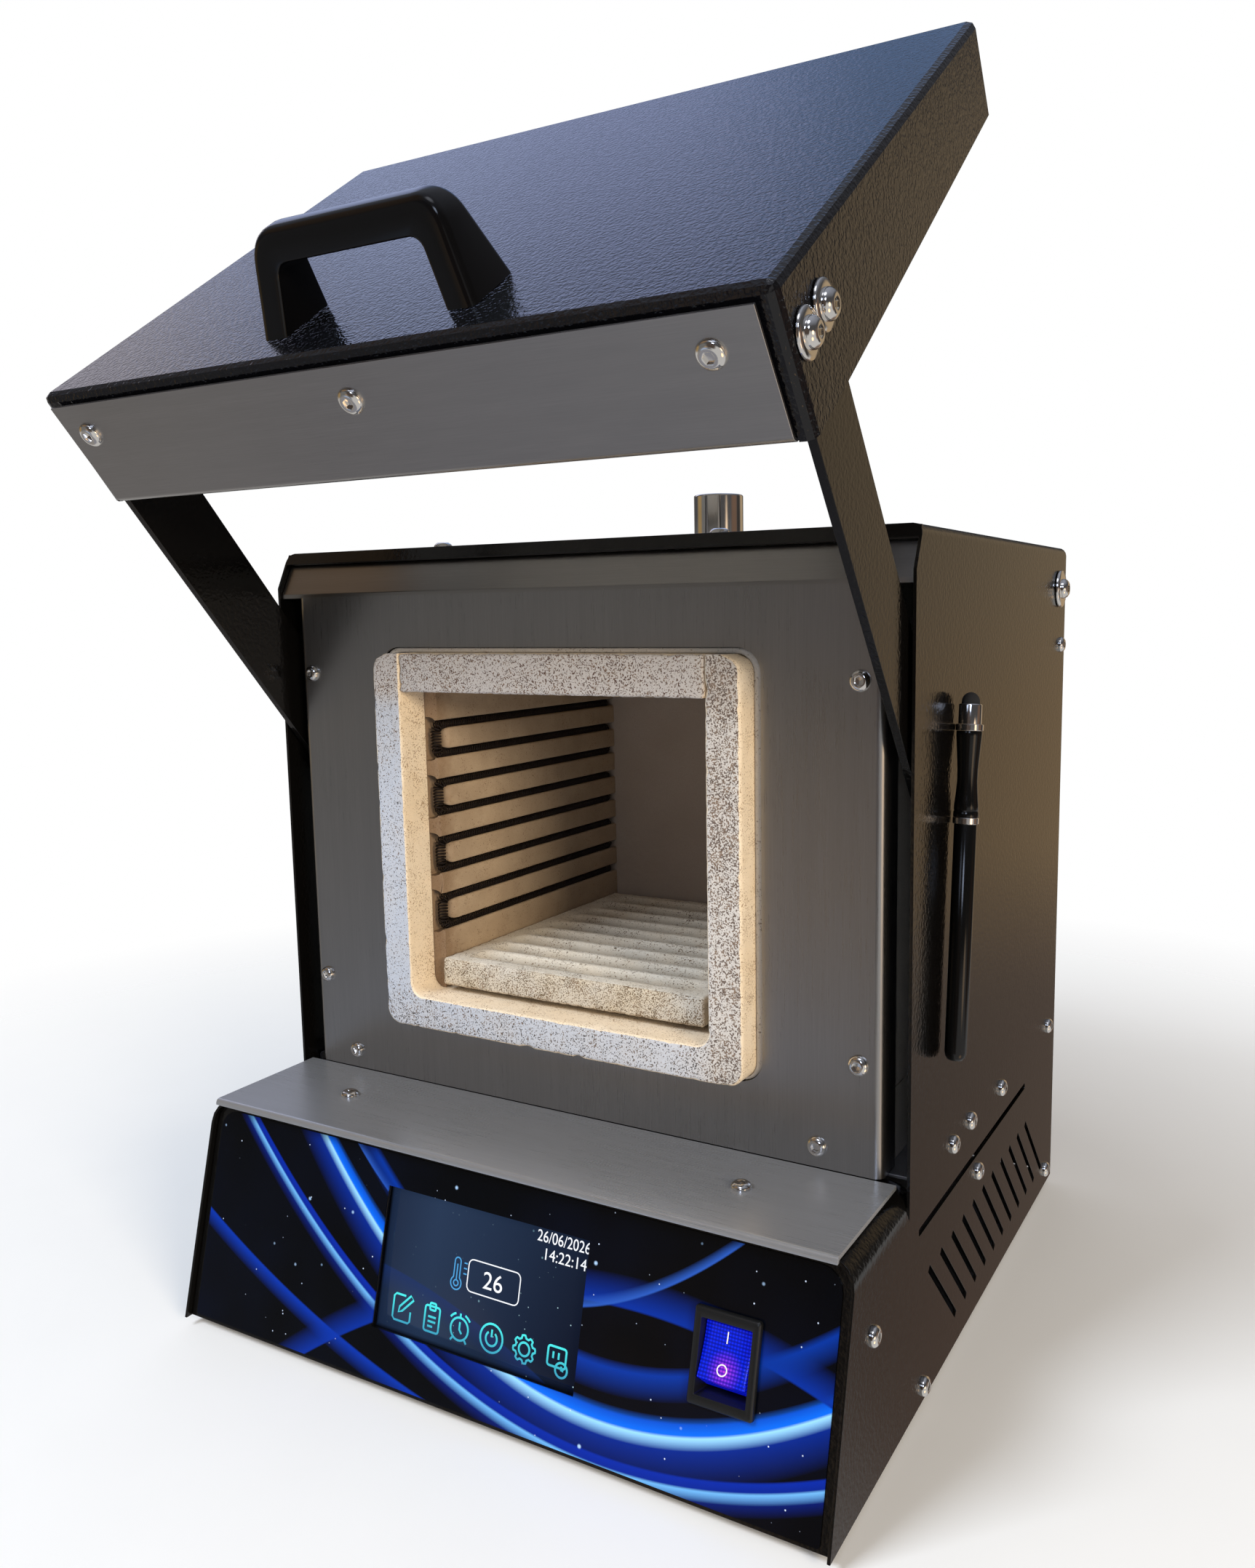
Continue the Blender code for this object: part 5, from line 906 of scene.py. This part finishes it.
# The muffle, with the chamber in it
MUFFLE_FRONT, MUFFLE_BACK, MUFFLE_LOW, MUFFLE_HIGH = -8.5, 152.4, 122.1, 285.3
CORNER_X, CORNER_LOW, CORNER_HIGH, CORNER_R = 80.4, 129.3, 278.1, 7.2
CHAMBER_X, CHAMBER_LOW, CHAMBER_R = 66.9, 136.2, 6.0


def mirrored(points):
    return points + [(-x, z) for x, z in points[:-1][::-1]]


def u_outlines():
    """Matching points of the muffle's outer and inner outline, down one side and up the other."""
    count, corner, half = 70, 10, 45
    outer, inner = [], []
    chamber_corner = CHAMBER_LOW + CHAMBER_R
    for k in range(count):
        z = MUFFLE_HIGH + (CORNER_LOW - MUFFLE_HIGH) * (k / count)
        drop = max(0.0, z - CORNER_HIGH)
        outer.append((-CORNER_X - math.sqrt(CORNER_R ** 2 - drop ** 2), z))
        rise = MUFFLE_HIGH + (chamber_corner - MUFFLE_HIGH) * (k / count)
        inner.append((-CHAMBER_X - CHAMBER_R, rise))
    outer += arc((-CORNER_X, CORNER_LOW), CORNER_R, 180, 270, corner)[:-1]
    inner += arc((-CHAMBER_X, chamber_corner), CHAMBER_R, 180, 270, corner)[:-1]
    outer += [(-CORNER_X * (1 - k / half), MUFFLE_LOW) for k in range(half + 1)]
    inner += [(-CHAMBER_X * (1 - k / half), CHAMBER_LOW) for k in range(half + 1)]
    return mirrored(outer), mirrored(inner)


def ring_section(outer, inner, front, back):
    """A section of the front ring: along the outside, over the front and back along the inside."""
    round_out, round_in = 1.5, 1.1
    out, into = Vector(outer), Vector(inner)
    wide = (into - out).length
    across = (into - out) / wide
    line = [(0.0, y) for y in (back, back - 4.0, back - 8.0, front + round_out + 1.6)]
    line += arc((round_out, front + round_out), round_out, 180, 270, 4)
    line += [(round_out + (wide - round_out - round_in) * k / 9, front) for k in range(1, 9)]
    line += arc((wide - round_in, front + round_in), round_in, 270, 360, 4)
    line += [(wide, y) for y in (front + round_in + 1.6, back - 10.0, back - 7.0, back - 4.0, back)]
    flat = [(out + across * u, y) for u, y in line]
    return [Vector((point.x, y, point.y)) for point, y in flat]


def add_muffle():
    """The U-shaped muffle with its worn speckled face, and the roof slab let in between its sides."""
    outer, inner = u_outlines()
    back = 7.2
    sections = []
    for o, i in zip(outer, inner):
        section = ring_section(o, i, MUFFLE_FRONT, back)
        middle = sum(section, Vector()) / len(section)
        shaped = []
        for k, point in enumerate(section):
            from_edge = min(abs(k - 6), abs(k - 19))
            on_edge = 1.0 if from_edge <= 2 else 0.45 if from_edge <= 3 else 0.0
            pull = max(0.0, noise.noise(point / 3.1) - 0.12) * 1.5 * on_edge
            rough = noise.noise(point / 1.3 + Vector((7.0, 3.0, 1.0))) * 0.14 if point.y < -6.0 else 0.0
            wave = noise.noise(point / 24.0) * 0.25
            away = (middle - point).normalized()
            shaped.append(point + away * (pull - min(0.0, wave) * 0.5) + Vector((0.0, rough, 0.0)))
        sections.append(shaped)
    face_ring = loft(sections)
    count = len(sections[0])
    marks = [0 if len(face) > 4 or 7 <= face[0] % count <= 17 else 1 for face in face_ring[1]]
    # Behind the ring the walls are thinner and stop at the heater boards
    board_back, start = 80.3, back + 0.05
    rear_sections = []
    for (ox, oz), (ix, iz) in list(zip(outer, inner))[::4] + [(outer[-1], inner[-1])]:
        upright = abs(ix) > CHAMBER_X + 0.05
        x = math.copysign(board_back if upright else abs(ix), ix)
        z = max(iz, CHAMBER_LOW) if upright else iz
        rear_sections.append([Vector(v) for v in ((ox, start, oz), (x, start, z), (x, MUFFLE_BACK, z),
                                                  (ox, MUFFLE_BACK, oz))])
    rear = loft(rear_sections)
    marks += [1] * len(rear[1])
    add_piece("muffle_body", *join([face_ring, rear]), ROOT, ("speckled", "cream"), "furnace",
              ("muffle_shell",), "ceramic", 60.0, marks)
    block = rounded_block((-72.6, MUFFLE_FRONT, 269.1), (72.6, MUFFLE_BACK, MUFFLE_HIGH), 1.2,
                          (1.9, 2.6, 1.9), worn(0.9, 3.0, 0.12, 5.0))
    marks = [0 if all(block[0][i].y < -6.5 for i in face) else 1 for face in block[1]]
    roof = add_piece("muffle_lintel", *block, ROOT, ("speckled", "cream"), "furnace",
                     ("muffle_roof",), "ceramic", 60.0, marks)
    drill(roof, lathe([(4.2, 260.0), (4.2, 295.0)], 24), ROOT @ shift(0.0, FLUE_Y, 0.0))


def add_gasket():
    """The grey gasket in the gap round the muffle, which tapers out below its lower corners."""
    front, back = 2.7, 8.6
    levels = [CORNER_LOW + (CORNER_HIGH - CORNER_LOW) * k / 12 for k in range(1, 12)]
    upper, lower = range(180, 89, -15), range(258, 179, -13)
    outer = [arc((-81.6, 131.0), 9.5, a, a, 1)[0] for a in lower] + [(-91.1, z) for z in levels]
    outer += [arc((-81.6, CORNER_HIGH), 9.5, a, a, 1)[0] for a in upper]
    inner = [arc((-CORNER_X, CORNER_LOW), 7.3, a, a, 1)[0] for a in lower] + [(-87.7, z) for z in levels]
    inner += [arc((-CORNER_X, CORNER_HIGH), 7.3, a, a, 1)[0] for a in upper]
    pairs = [(Vector(o), Vector(i)) for o, i in zip(outer, inner)]
    pairs += [(Vector((-o.x, o.y)), Vector((-i.x, i.y))) for o, i in pairs[::-1]]
    profile = ((0.0, back), (0.0, front + 0.6), (0.12, front + 0.15), (0.5, front),
               (0.88, front + 0.15), (1.0, front + 0.6), (1.0, back))
    sections = []
    for o, i in pairs:
        flat = [(o.lerp(i, share), y) for share, y in profile]
        sections.append([Vector((point.x, y, point.y)) for point, y in flat])
    add_piece("gasket_strip", *loft(sections), ROOT, "gasket", "furnace", ("window_gasket",), "gasket",
              50.0)


# Heater plates: a back slab with a land between each pair of coil runs
RUN_LEVELS = [254.0 - 12.8 * i for i in range(8)]
PLATE_FACE, PLATE_NECK, PLATE_BACK = 66.3, 73.9, 80.0
MOUTH, LIP = 1.8, 0.9
BORE = 3.2
AXIS_DEPTH = 70.6


def land_lip(is_open):
    """A land's outline at one end: its depth and its height from that end."""
    if not is_open:
        return [(PLATE_NECK + 0.6, 0.0), (PLATE_FACE, 0.0)]
    line = [(PLATE_NECK + 0.6, BORE), (AXIS_DEPTH, BORE), (AXIS_DEPTH - 2.0, 2.6)]
    line += [(PLATE_FACE + LIP + 0.6, MOUTH)]
    return line + arc((PLATE_FACE + LIP, MOUTH + LIP), LIP, 270, 180, 3)


def land_section(low, high, open_low, open_high):
    """Half of a land's outline in depth and height: a flat face, rounded lips and a narrower neck."""
    flat_low, flat = low + MOUTH + LIP, high - low - 2 * (MOUTH + LIP)
    return ([(x, low + z) for x, z in land_lip(open_low)]
            + [(PLATE_FACE, flat_low + flat * k / 5) for k in range(1, 5)]
            + [(x, high - z) for x, z in land_lip(open_high)[::-1]])


def add_land(side, low, high, start, end, round_start, cover, seed, open_low, open_high):
    """One land. Its front end may be rounded, and cover keeps only its face over a rear turn."""
    base = land_section(low, high, open_low, open_high)
    centre = Vector((PLATE_NECK, (low + high) / 2))
    stations = []
    reach = 2.6
    if round_start:
        angles = [math.radians(a) for a in (0, 22, 45, 68, 90)]
        stations += [(start + reach * (1 - math.cos(a)), math.sin(a)) for a in angles]
    else:
        stations.append((start, 1.0))
    first = stations[-1][0]
    count = max(4, round((end - first) / 2.2))
    stations += [(first + (end - first) * k / count, 1.0) for k in range(1, count + 1)]
    sections = []
    if cover:
        stations.append((end - 6.0 + 0.2, 1.0))
        stations.append((end, 1.0))
        stations = [s for s in stations if s[0] <= end - 6.0] + stations[-2:]
    for y, share in stations:
        share = 0.7 + 0.3 * share
        near_end = max(0.0, 1 - (y - start) / 9.0)
        ring = []
        for x, z in base:
            flat = centre + (Vector((x, z)) - centre) * share
            if cover and y > end - 6.0:
                flat.x = min(flat.x, 68.0)
            point = Vector((flat.x, y, flat.y))
            chip = max(0.0, noise.noise(point / 2.6 + Vector((seed, 0.0, 0.0))) - 0.02)
            chip *= 0.35 + 1.9 * near_end
            grain = noise.noise(point / 1.2 + Vector((0.0, seed, 0.0))) * 0.09
            point.x += chip * (1.0 if x < PLATE_FACE + 1.5 else 0.0) + grain
            ring.append(Vector((side * point.x, point.y, point.z)))
        sections.append(ring)
    return loft(sections)


def add_plates():
    """Both heater plates, whose lands stop short where the coil turns from one run to the next."""
    start, end = 7.5, 152.4
    for name, side in (("left", -1), ("right", 1)):
        parts = [rounded_block((min(side * PLATE_NECK, side * PLATE_BACK), start, 136.5),
                               (max(side * PLATE_NECK, side * PLATE_BACK), end, 268.8), 0.4, 6.0)]
        edges = [268.8] + RUN_LEVELS + [136.5]
        for i in range(9):
            high, low = edges[i], edges[i + 1]
            turn_front = 0 < i < 8 and (i - 1) % 2 == 0
            turn_rear = 0 < i < 8 and (i - 1) % 2 == 1
            first = start + (6.0 if turn_front else 0.0)
            parts.append(add_land(side, low, high, first, end, turn_front, turn_rear, 3.1 * i + side,
                                  i != 8, i != 0))
        add_piece(f"heater_board_{name}", *join(parts), ROOT, "beige", "furnace",
                  (f"heater_plate_{name}",), "ceramic", 55.0)


def add_coils():
    """The heating coils as close-wound wire along their grooves."""
    near, far = 7.5 + 3.1, 152.4 - 3.1
    corners = []
    for i, level in enumerate(RUN_LEVELS):
        ends = (far, near) if i % 2 == 0 else (near, far)
        corners += [(ends[0], level), (ends[1], level)]
    path = rounded_path(corners, 3.0, 6)
    length = sum((b - a).length for a, b in zip(path, path[1:]))
    pitch, per_curl, radius = 1.32, 10, 2.08
    count = int(length / pitch * per_curl)
    for name, side in (("left", -1), ("right", 1)):
        points = []
        for n, (distance, centre, ahead) in enumerate(walk(path, count)):
            up = Vector((-ahead.y, ahead.x))
            angle = TAU * n / per_curl
            sag = 0.3 * noise.noise(Vector((distance / 9.0, side * 3.0, 0.0))) - 0.45
            y = centre.x + up.x * math.cos(angle) * radius
            z = centre.y + up.y * math.cos(angle) * radius + sag
            points.append(Vector((side * (AXIS_DEPTH - 0.85 + radius * math.sin(angle)), y, z)))
        add_tube(f"coil_wire_{name}", points, 0.36, "wire", "furnace", (f"heating_coil_{name}",),
                 "heating_wire")


def add_tube(name, points, radius, look, body, stands_for, slot, sides=5):
    """A tube swept along points, closed at both ends."""
    sections = []
    side_way = Vector((1.0, 0.0, 0.0))
    for i, point in enumerate(points):
        ahead = (points[min(i + 1, len(points) - 1)] - points[max(i - 1, 0)]).normalized()
        side_way = (side_way - ahead * side_way.dot(ahead))
        if side_way.length < 1e-6:
            side_way = ahead.orthogonal()
        side_way.normalize()
        up = ahead.cross(side_way)
        angles = [TAU * k / sides for k in range(sides)]
        sections.append([point + (side_way * math.cos(a) + up * math.sin(a)) * radius for a in angles])
    return add_piece(name, *loft(sections), ROOT, look, body, stands_for, slot, 0.0)


# The tray
def add_tray():
    """The ribbed firing tray, with a rough speckled rim."""
    low, top = 139.0, 151.2
    pitch, valley = 133.0 / 9, 11.6
    block = rounded_block((-65.0, 3.0, low), (65.0, 147.0, top), 1.6, (1.7, 1.15, 1.9),
                          worn(0.8, 3.0, 0.16, 2.0))
    verts = []
    for point in block[0]:
        if point.z > top - 0.9:
            s = (point.y - 10.5) / pitch
            local = s - math.floor(s)
            depth = 0.0
            if 0 <= s < 9 and local * pitch < valley:
                depth = math.sin(math.pi * local * pitch / valley) ** 0.75
            side = min(1.0, max(0.0, (57.5 - abs(point.x)) / 7.0))
            side = side * side * (3 - 2 * side)
            point = point - Vector((0.0, 0.0, 3.2 * depth * side))
            point.z += 0.12 * noise.noise(point / 5.0)
        verts.append(point)
    marks = [0 if all(verts[i].y < 4.4 for i in face) else 1 for face in block[1]]
    feet = [rounded_block((x - 6.0, 27.0, 136.5), (x + 6.0, 123.0, 139.4), 0.5, 8.0)
            for x in (-41.0, 41.0)]
    parts = join([(verts, block[1])] + feet)
    marks += [1] * (len(parts[1]) - len(marks))
    add_piece("firing_tray", *parts, ROOT, ("tray_face", "tray"), "tray", ("tray",), "ceramic", 60.0,
              marks)


# The chimney, the stylus and the handle
def add_chimney():
    top = 358.0
    profile = [(9.8, 285.7), (12.25, 285.7), (12.25, top - 1.0)]
    profile += arc((12.25 - 0.9, top - 0.9), 0.9, 0, 90, 3)
    profile += [(10.3, top), (9.8, top - 0.5), (9.8, 285.7)]
    verts, faces = lathe(profile, 64)
    faces = faces[:-2]
    add_piece("chimney_pipe", verts, faces, ROOT @ shift(0.0, 148.0, 0.0), "chrome", "furnace",
              ("chimney",), "stainless", 40.0)


def add_stylus():
    barrel = [(0.4, 0.0), (2.6, 0.0), (3.2, 0.25), (4.0, 1.6), (4.25, 3.2), (4.25, 89.6), (4.1, 89.8),
              (1.0, 89.8)]
    add_piece("stylus_body", *lathe(barrel, 48), STYLUS, "anodised", "stylus", ("stylus_barrel",),
              "gunmetal")
    for name, radius, start in (("lower", 4.85, 89.9), ("upper", 5.15, 124.9)):
        ring = [(1.0, start), (radius - 0.15, start), (radius, start + 0.15), (radius, start + 2.25),
                (radius - 0.15, start + 2.4), (1.0, start + 2.4)]
        add_piece(f"stylus_band_{name}", *lathe(ring, 48), STYLUS, "dark_chrome", "stylus",
                  (f"stylus_ring_{name}",), "chrome")
    waist = ((0.0, 4.7), (0.02, 4.75), (0.06, 4.7), (0.075, 4.45), (0.09, 4.6), (0.14, 4.58), (0.2, 4.35),
             (0.3, 4.05), (0.42, 3.82), (0.55, 3.88), (0.68, 4.15), (0.82, 4.5), (0.94, 4.78),
             (0.985, 4.85), (1.0, 4.7))
    grip = [(1.0, 92.4)] + [(r, 92.4 + 32.4 * s) for s, r in waist] + [(1.0, 124.8)]
    add_piece("stylus_waist", *lathe(grip, 48), STYLUS, "anodised", "stylus", ("stylus_grip",),
              "gunmetal")
    sleeve = [(1.0, 127.4), (4.3, 127.4), (4.3, 134.4)]
    sleeve += arc((3.7, 134.4), 0.6, 0, 90, 3)[1:]
    sleeve += [(1.0, 135.0)]
    rises = [math.radians(a) for a in (15, 30, 45, 60, 75, 85)]
    dome = [(1.0, 134.9), (3.35, 134.9), (3.4, 135.3)]
    dome += [(3.4 * math.cos(a), 135.6 + 3.7 * math.sin(a)) for a in rises]
    parts, marks = [], []
    for profile, mark in ((sleeve, 0), (dome, 1)):
        part = lathe(profile, 40)
        parts.append(part)
        marks += [mark] * len(part[1])
    add_piece("stylus_point", *join(parts), STYLUS, ("dark_chrome", "rubber"), "stylus",
              ("stylus_tip",), "soft_tip", 40.0, marks)


def add_handle():
    """The moulded bridge handle, on the door's outer face."""
    verts, faces = handle_skin()
    add_piece("handle_moulding", verts, faces, DOOR_FACE @ shift(-1.2, 0.0, 0.0), "handle", "door",
              ("door_handle",), "black_plastic", 50.0)


def handle_skin():
    """Sections through the bar and legs, swept along the handle's centre line from foot to foot."""
    height, bar, leg = 31.8, 10.6, 11.0
    foot, top = 44.9, 38.4
    outer = rounded_path([(-foot, 0.3), (-top, height), (top, height), (foot, 0.3)], 10.0, 10)
    inner_foot, inner_top = foot - leg, foot - leg - (foot - top) * (height - bar) / height
    inner = rounded_path([(-inner_foot, 0.3), (-inner_top, height - bar), (inner_top, height - bar),
                          (inner_foot, 0.3)], 5.0, 10)
    pairs = zip(walk(outer, 72), walk(inner, 72))
    return loft([handle_section(o, i) for (_, o, _), (_, i, _) in pairs])


def handle_section(outer, inner):
    """One closed section: deep at the face, narrower away from it, with rounded edges."""
    big, small = 2.9, 1.2
    across = inner - outer
    wide = across.length
    across.normalize()
    points = []
    for u0, v0, radius, start, steps in (
            (big, big, big, 180, 4), (wide - small, small, small, 270, 3),
            (wide - small, -small, small, 0, 3), (big, -big, big, 90, 4)):
        for u, v in arc((u0, v0), radius, start, start + 90, steps):
            flat = outer + across * u
            rise = flat.y / 31.0
            z = 16.4 + 10.2 * rise + v if v0 > 0 else 42.2 - 4.9 * rise + min(v, -0.001)
            points.append(Vector((flat.x, -flat.y, z)))
    return points


# The console
def dish(v):
    """How far in the rocker's face lies at this height."""
    return 0.75 * (1 - (v / 9.0) ** 2) - 10.5


def add_switch():
    """The bezel with its rounded rim, and the rocker with a dished face, I and O marks."""
    # Each rectangle as x, z, width and height, and each ring as its growth, its depth and its corners
    rim, case, room = (93.6, 33.3, 25.2, 33.0), (95.3, 35.7, 21.8, 28.2), (96.6, 37.1, 19.2, 25.4)
    rings = []
    for (x, z, wide, high), grow, y, radius in (
            (case, 0.0, 24.8, 0.6), (case, 0.0, -0.55, 0.6), (rim, -0.05, -0.6, 1.2),
            (rim, 0.0, -0.9, 1.2), (rim, -0.15, -2.1, 1.1), (rim, -0.6, -2.6, 1.0),
            (rim, -1.1, -2.8, 0.9), (room, 0.5, -2.8, 0.7), (room, 0.12, -2.6, 0.5),
            (room, 0.0, -2.2, 0.4), (room, 0.0, 15.3, 0.4)):
        outline = box_path(x - grow, z - grow, wide + 2 * grow, high + 2 * grow, radius)[:-1]
        rings.append([Vector((u, y, v)) for u, v in outline])
    add_piece("switch_bezel", *loft(rings), CONSOLE, "frame", "furnace", ("switch_frame",),
              "black_plastic", 35.0)
    place = CONSOLE @ shift(106.2, 9.0, 49.8) @ turn(-math.radians(13.0))
    half = 9.15
    side = [(-9.6, 9.45), (-1.5, 11.85), (-0.9, 11.8), (3.0, 7.5)]
    face = [(dish(-9.0 + 18.0 * k / 12), -9.0 + 18.0 * k / 12) for k in range(13)]
    profile = [(y, -z) for y, z in side[::-1]] + [(-10.2, -9.3)] + face + [(-10.2, 9.3)] + side
    sections = []
    for share, inset in ((-1.0, 0.55), (-0.985, 0.2), (-0.95, 0.0), (-0.5, 0.0), (0.0, 0.0), (0.5, 0.0),
                         (0.95, 0.0), (0.985, 0.2), (1.0, 0.55)):
        sections.append([Vector((half * share, y + (inset if y < -1.0 else 0.0), z * (1 - inset / 30)))
                         for y, z in profile])
    parts = [loft(sections), moved(lathe([(1.5, -10.2), (1.5, 10.2)], 16), turn(math.pi / 2, "Y"))]
    add_piece("rocker_key", *join(parts), place, "rocker", "rocker", ("rocker",), "rocker_plastic", 40.0)
    marks = join([strip(bar(0.0, 3.4, 0.0, 7.2), 0.42), strip(arc((0.0, -5.1), 1.75, steps=32), 0.42)])
    lifted = [Vector((u - 0.4, dish(v) - 0.06 - w, v)) for u, v, w in marks[0]]
    add_piece("rocker_marks", lifted, marks[1], place, "mark", "rocker", slot="rocker_plastic")


def bar(*points):
    """Points from a flat list of numbers."""
    return list(zip(points[::2], points[1::2]))


def icon_paths(middles, level):
    """The six line icons in a row: note, clipboard, alarm clock, power, gear and pause list."""
    note = [bar(1.2, 5, -3.6, 5, -4.6, 4, -4.6, -4, -3.6, -5, 3.4, -5, 4.2, -4.2, 4.2, -0.6),
            bar(-1.8, -1.8, -1.4, 0.4, 3.8, 5.6, 5.2, 4.2, 0, -1, -1.8, -1.8)]
    board = [box_path(-3.6, -5.2, 7.2, 9.6), box_path(-1.4, 3.0, 2.8, 2.6, 0.5), bar(-1.9, 0.4, 1.9, 0.4),
             bar(-1.9, -1.4, 1.9, -1.4), bar(-1.9, -3.2, 0.6, -3.2)]
    clock = [arc((0, -0.6), 4.2), bar(0, 2, 0, -0.8, 1.2, -2.2), arc((0, -0.6), 5.9, 112, 142, 6),
             arc((0, -0.6), 5.9, 38, 68, 6), bar(0, 3.7, 0, 5.2), bar(-2.9, -4.2, -3.8, -5.4),
             bar(2.9, -4.2, 3.8, -5.4)]
    power = [arc((0, 0), 5.2), arc((0, -0.2), 2.6, 125, 415, 20), bar(0, 0.4, 0, 3.2)]
    teeth = [arc((0, 0), 5.0 if k // 3 % 2 == 0 else 4.0, 7.5 * k, 7.5 * k, 1)[0] for k in range(49)]
    pause = [box_path(-4.2, -2.4, 8.0, 7.0), arc((2.2, -3.0), 2.6, steps=20), bar(-1.8, 0.4, -1.8, 2.8),
             bar(0.6, 0.4, 0.6, 2.8), bar(2.2, -1.6, 2.2, -3, 3.2, -3)]
    icons = (note, board, clock, power, [teeth, arc((0, 0), 2.4)], pause)
    return [[(x + u, level + v) for u, v in path] for x, paths in zip(middles, icons) for path in paths]


def add_screen():
    """The glass in its recess, with lit line icons, a thermometer, a box and plain digits."""
    glass = 2.75
    outline = box_path(-49.4, 20.1, 98.8, 57.8, 0.8)[:-1]
    rings = [[Vector((x * (1 + grow / 48.0), glass + y, 49.0 + (z - 49.0) * (1 + grow / 28.0)))
              for x, z in outline]
             for y, grow in ((8.2, 4.0), (2.2, 4.0), (2.2, 0.0), (0.25, 0.0), (0.0, -0.3))]
    add_piece("screen_glass", *loft(rings), CONSOLE, "screen", "furnace", ("lcd_module",), "screen",
              35.0)
    lift = glass - 0.04

    def show(name, paths, width, look):
        verts, faces = join([strip(path, width) for path in paths])
        verts = [Vector((u, lift - w, v)) for u, v, w in verts]
        add_piece(f"screen_{name}", verts, faces, CONSOLE, look, "furnace", slot="screen")

    show("icons", icon_paths((-36.3, -21.3, -7.7, 7.6, 22.8, 37.6), 30.6), 0.8, "icon")
    bulb = arc((-11.9, 46.4), 2.5, -235, 55, 20)
    tube = [bulb[0], (-13.3, 54.6)] + arc((-11.9, 54.6), 1.4, 180, 0, 8) + [bulb[-1]]
    ticks = [[(-8.8, z), (-7.3, z)] for z in (54.6, 52.6, 50.6)]
    meter = [bulb, tube, arc((-11.9, 46.4), 1.1), [(-11.9, 47.4), (-11.9, 53.6)]] + ticks
    show("thermometer", meter, 0.5, "thermometer")
    show("box", [box_path(-6.6, 44.8, 24.4, 12.0, 2.2)], 0.45, "digit")
    for name, words, x, z, size, wide in (("reading", "26", 5.4, 47.5, 9.2, 9.0),
                                          ("date", "26/06/2026", 35.0, 70.6, 6.0, 23.5),
                                          ("time", "14:22:14", 36.2, 64.4, 6.0, 18.3)):
        add_digits(f"screen_{name}", words, x, z, size, wide, lift - 0.05, "digit")


def add_digits(name, words, x, z, size, wide, level, look):
    """Plain digits of a given width standing on the glass, as a thin mesh."""
    curve = bpy.data.curves.new(name, "FONT")
    curve.body = words
    curve.size = size
    curve.align_x = "CENTER"
    curve.extrude = 0.02
    made = bpy.data.objects.new(name + "_text", curve)
    bpy.context.scene.collection.objects.link(made)
    bpy.context.view_layer.update()
    mesh = bpy.data.meshes.new_from_object(made.evaluated_get(bpy.context.evaluated_depsgraph_get()))
    bpy.data.objects.remove(made)
    spread = [vertex.co.x for vertex in mesh.vertices]
    squeeze = wide / (max(spread) - min(spread))
    place = CONSOLE @ shift(x, level, z) @ OUT["front"] @ Matrix.Diagonal((squeeze, 1.0, 1.0, 1.0))
    mesh.transform(place)
    mesh.materials.clear()
    mesh.materials.append(LOOKS[look].material)
    mesh.name = name
    finish_piece(name, mesh, "furnace", (), "screen", 30.0)


def add_fascia():
    """The brushed front sheet with its rounded side bends and its leaning brow."""
    front, half, sheet = 1.2, 139.0, 1.2
    plan = [(-half, 15.2), (-half, front), (half, front), (half, 15.2)]
    outer = bent(plan, 3.4, 8)
    room = half - sheet
    inner = bent([(-room, 15.2), (-room, front + sheet), (room, front + sheet), (room, 15.2)], 2.2, 8)
    ring = outer + inner[::-1]
    levels = [93.4 + (309.9 - 93.4) * k / 12 for k in range(13)]
    sheet_part = loft([[Vector((x, y, z)) for x, y in ring] for z in levels])
    lower = add_piece("fascia_sheet", *sheet_part, ROOT, "upright", "furnace", ("fascia",),
                      "stainless", 35.0)
    corners = [(-91.2, 121.4), (91.2, 121.4), (91.2, 287.7), (-91.2, 287.7), (-91.2, 121.4)]
    hole = bent(corners, 9.6, 8, True)
    drill(lower, loft([[Vector((x, y, z)) for x, z in hole] for y in (-9.0, 9.0)]), ROOT)
    lean = math.radians(26.7)
    top = (front + 0.01 + 14.5 * math.sin(lean), 311.4 + 14.5 * math.cos(lean))
    face = bent([(front + 0.01, 309.6), (front + 0.01, 311.4), top], 1.3, 5)
    leaning = (sheet * math.cos(lean), sheet * math.sin(lean))
    offsets = [leaning if z > 312.0 else (sheet, 0.0) for _, z in face]
    back = [(y + dy, z - dz) for (y, z), (dy, dz) in zip(face, offsets)]
    brow = face + back[::-1]
    xs = (-148.5, -148.2, -140.0, -70.0, 0.0, 70.0, 140.0, 148.2, 148.5)
    add_piece("fascia_brow", *loft([[Vector((x, y, z)) for y, z in brow] for x in xs]), ROOT, "along",
              "furnace", slot="stainless", sharp=35.0)


def bent(corners, radius, steps, closed=False):
    """A path with each corner rounded to an arc. A closed path is given with its first corner twice."""
    if closed:
        corners = [corners[-2]] + list(corners)
        path = rounded_path(corners, radius, steps)[1:]
        return [(p.x, p.y) for p in path][:-1]
    return [(p.x, p.y) for p in rounded_path(corners, radius, steps)]


scene = bpy.context.scene
scene.view_settings.view_transform = "Standard"
add_camera()
add_world()
for look, width, names in DRESSED:
    for name in names.split():
        dress(name, look, width)
add_fascia()
add_muffle()
add_gasket()
add_plates()
add_coils()
add_tray()
add_chimney()
add_stylus()
add_handle()
add_bolts()
add_screws()
add_switch()
add_screen()
add_floor()
add_room()
add_softbox("key", (-0.9, -1.5, 1.9), (1.0, 0.8), 44.0, (0.84, 0.91, 1.0))
add_softbox("warm", (1.6, -0.95, 0.75), (0.6, 0.6), 25.0, (1.0, 0.84, 0.62))
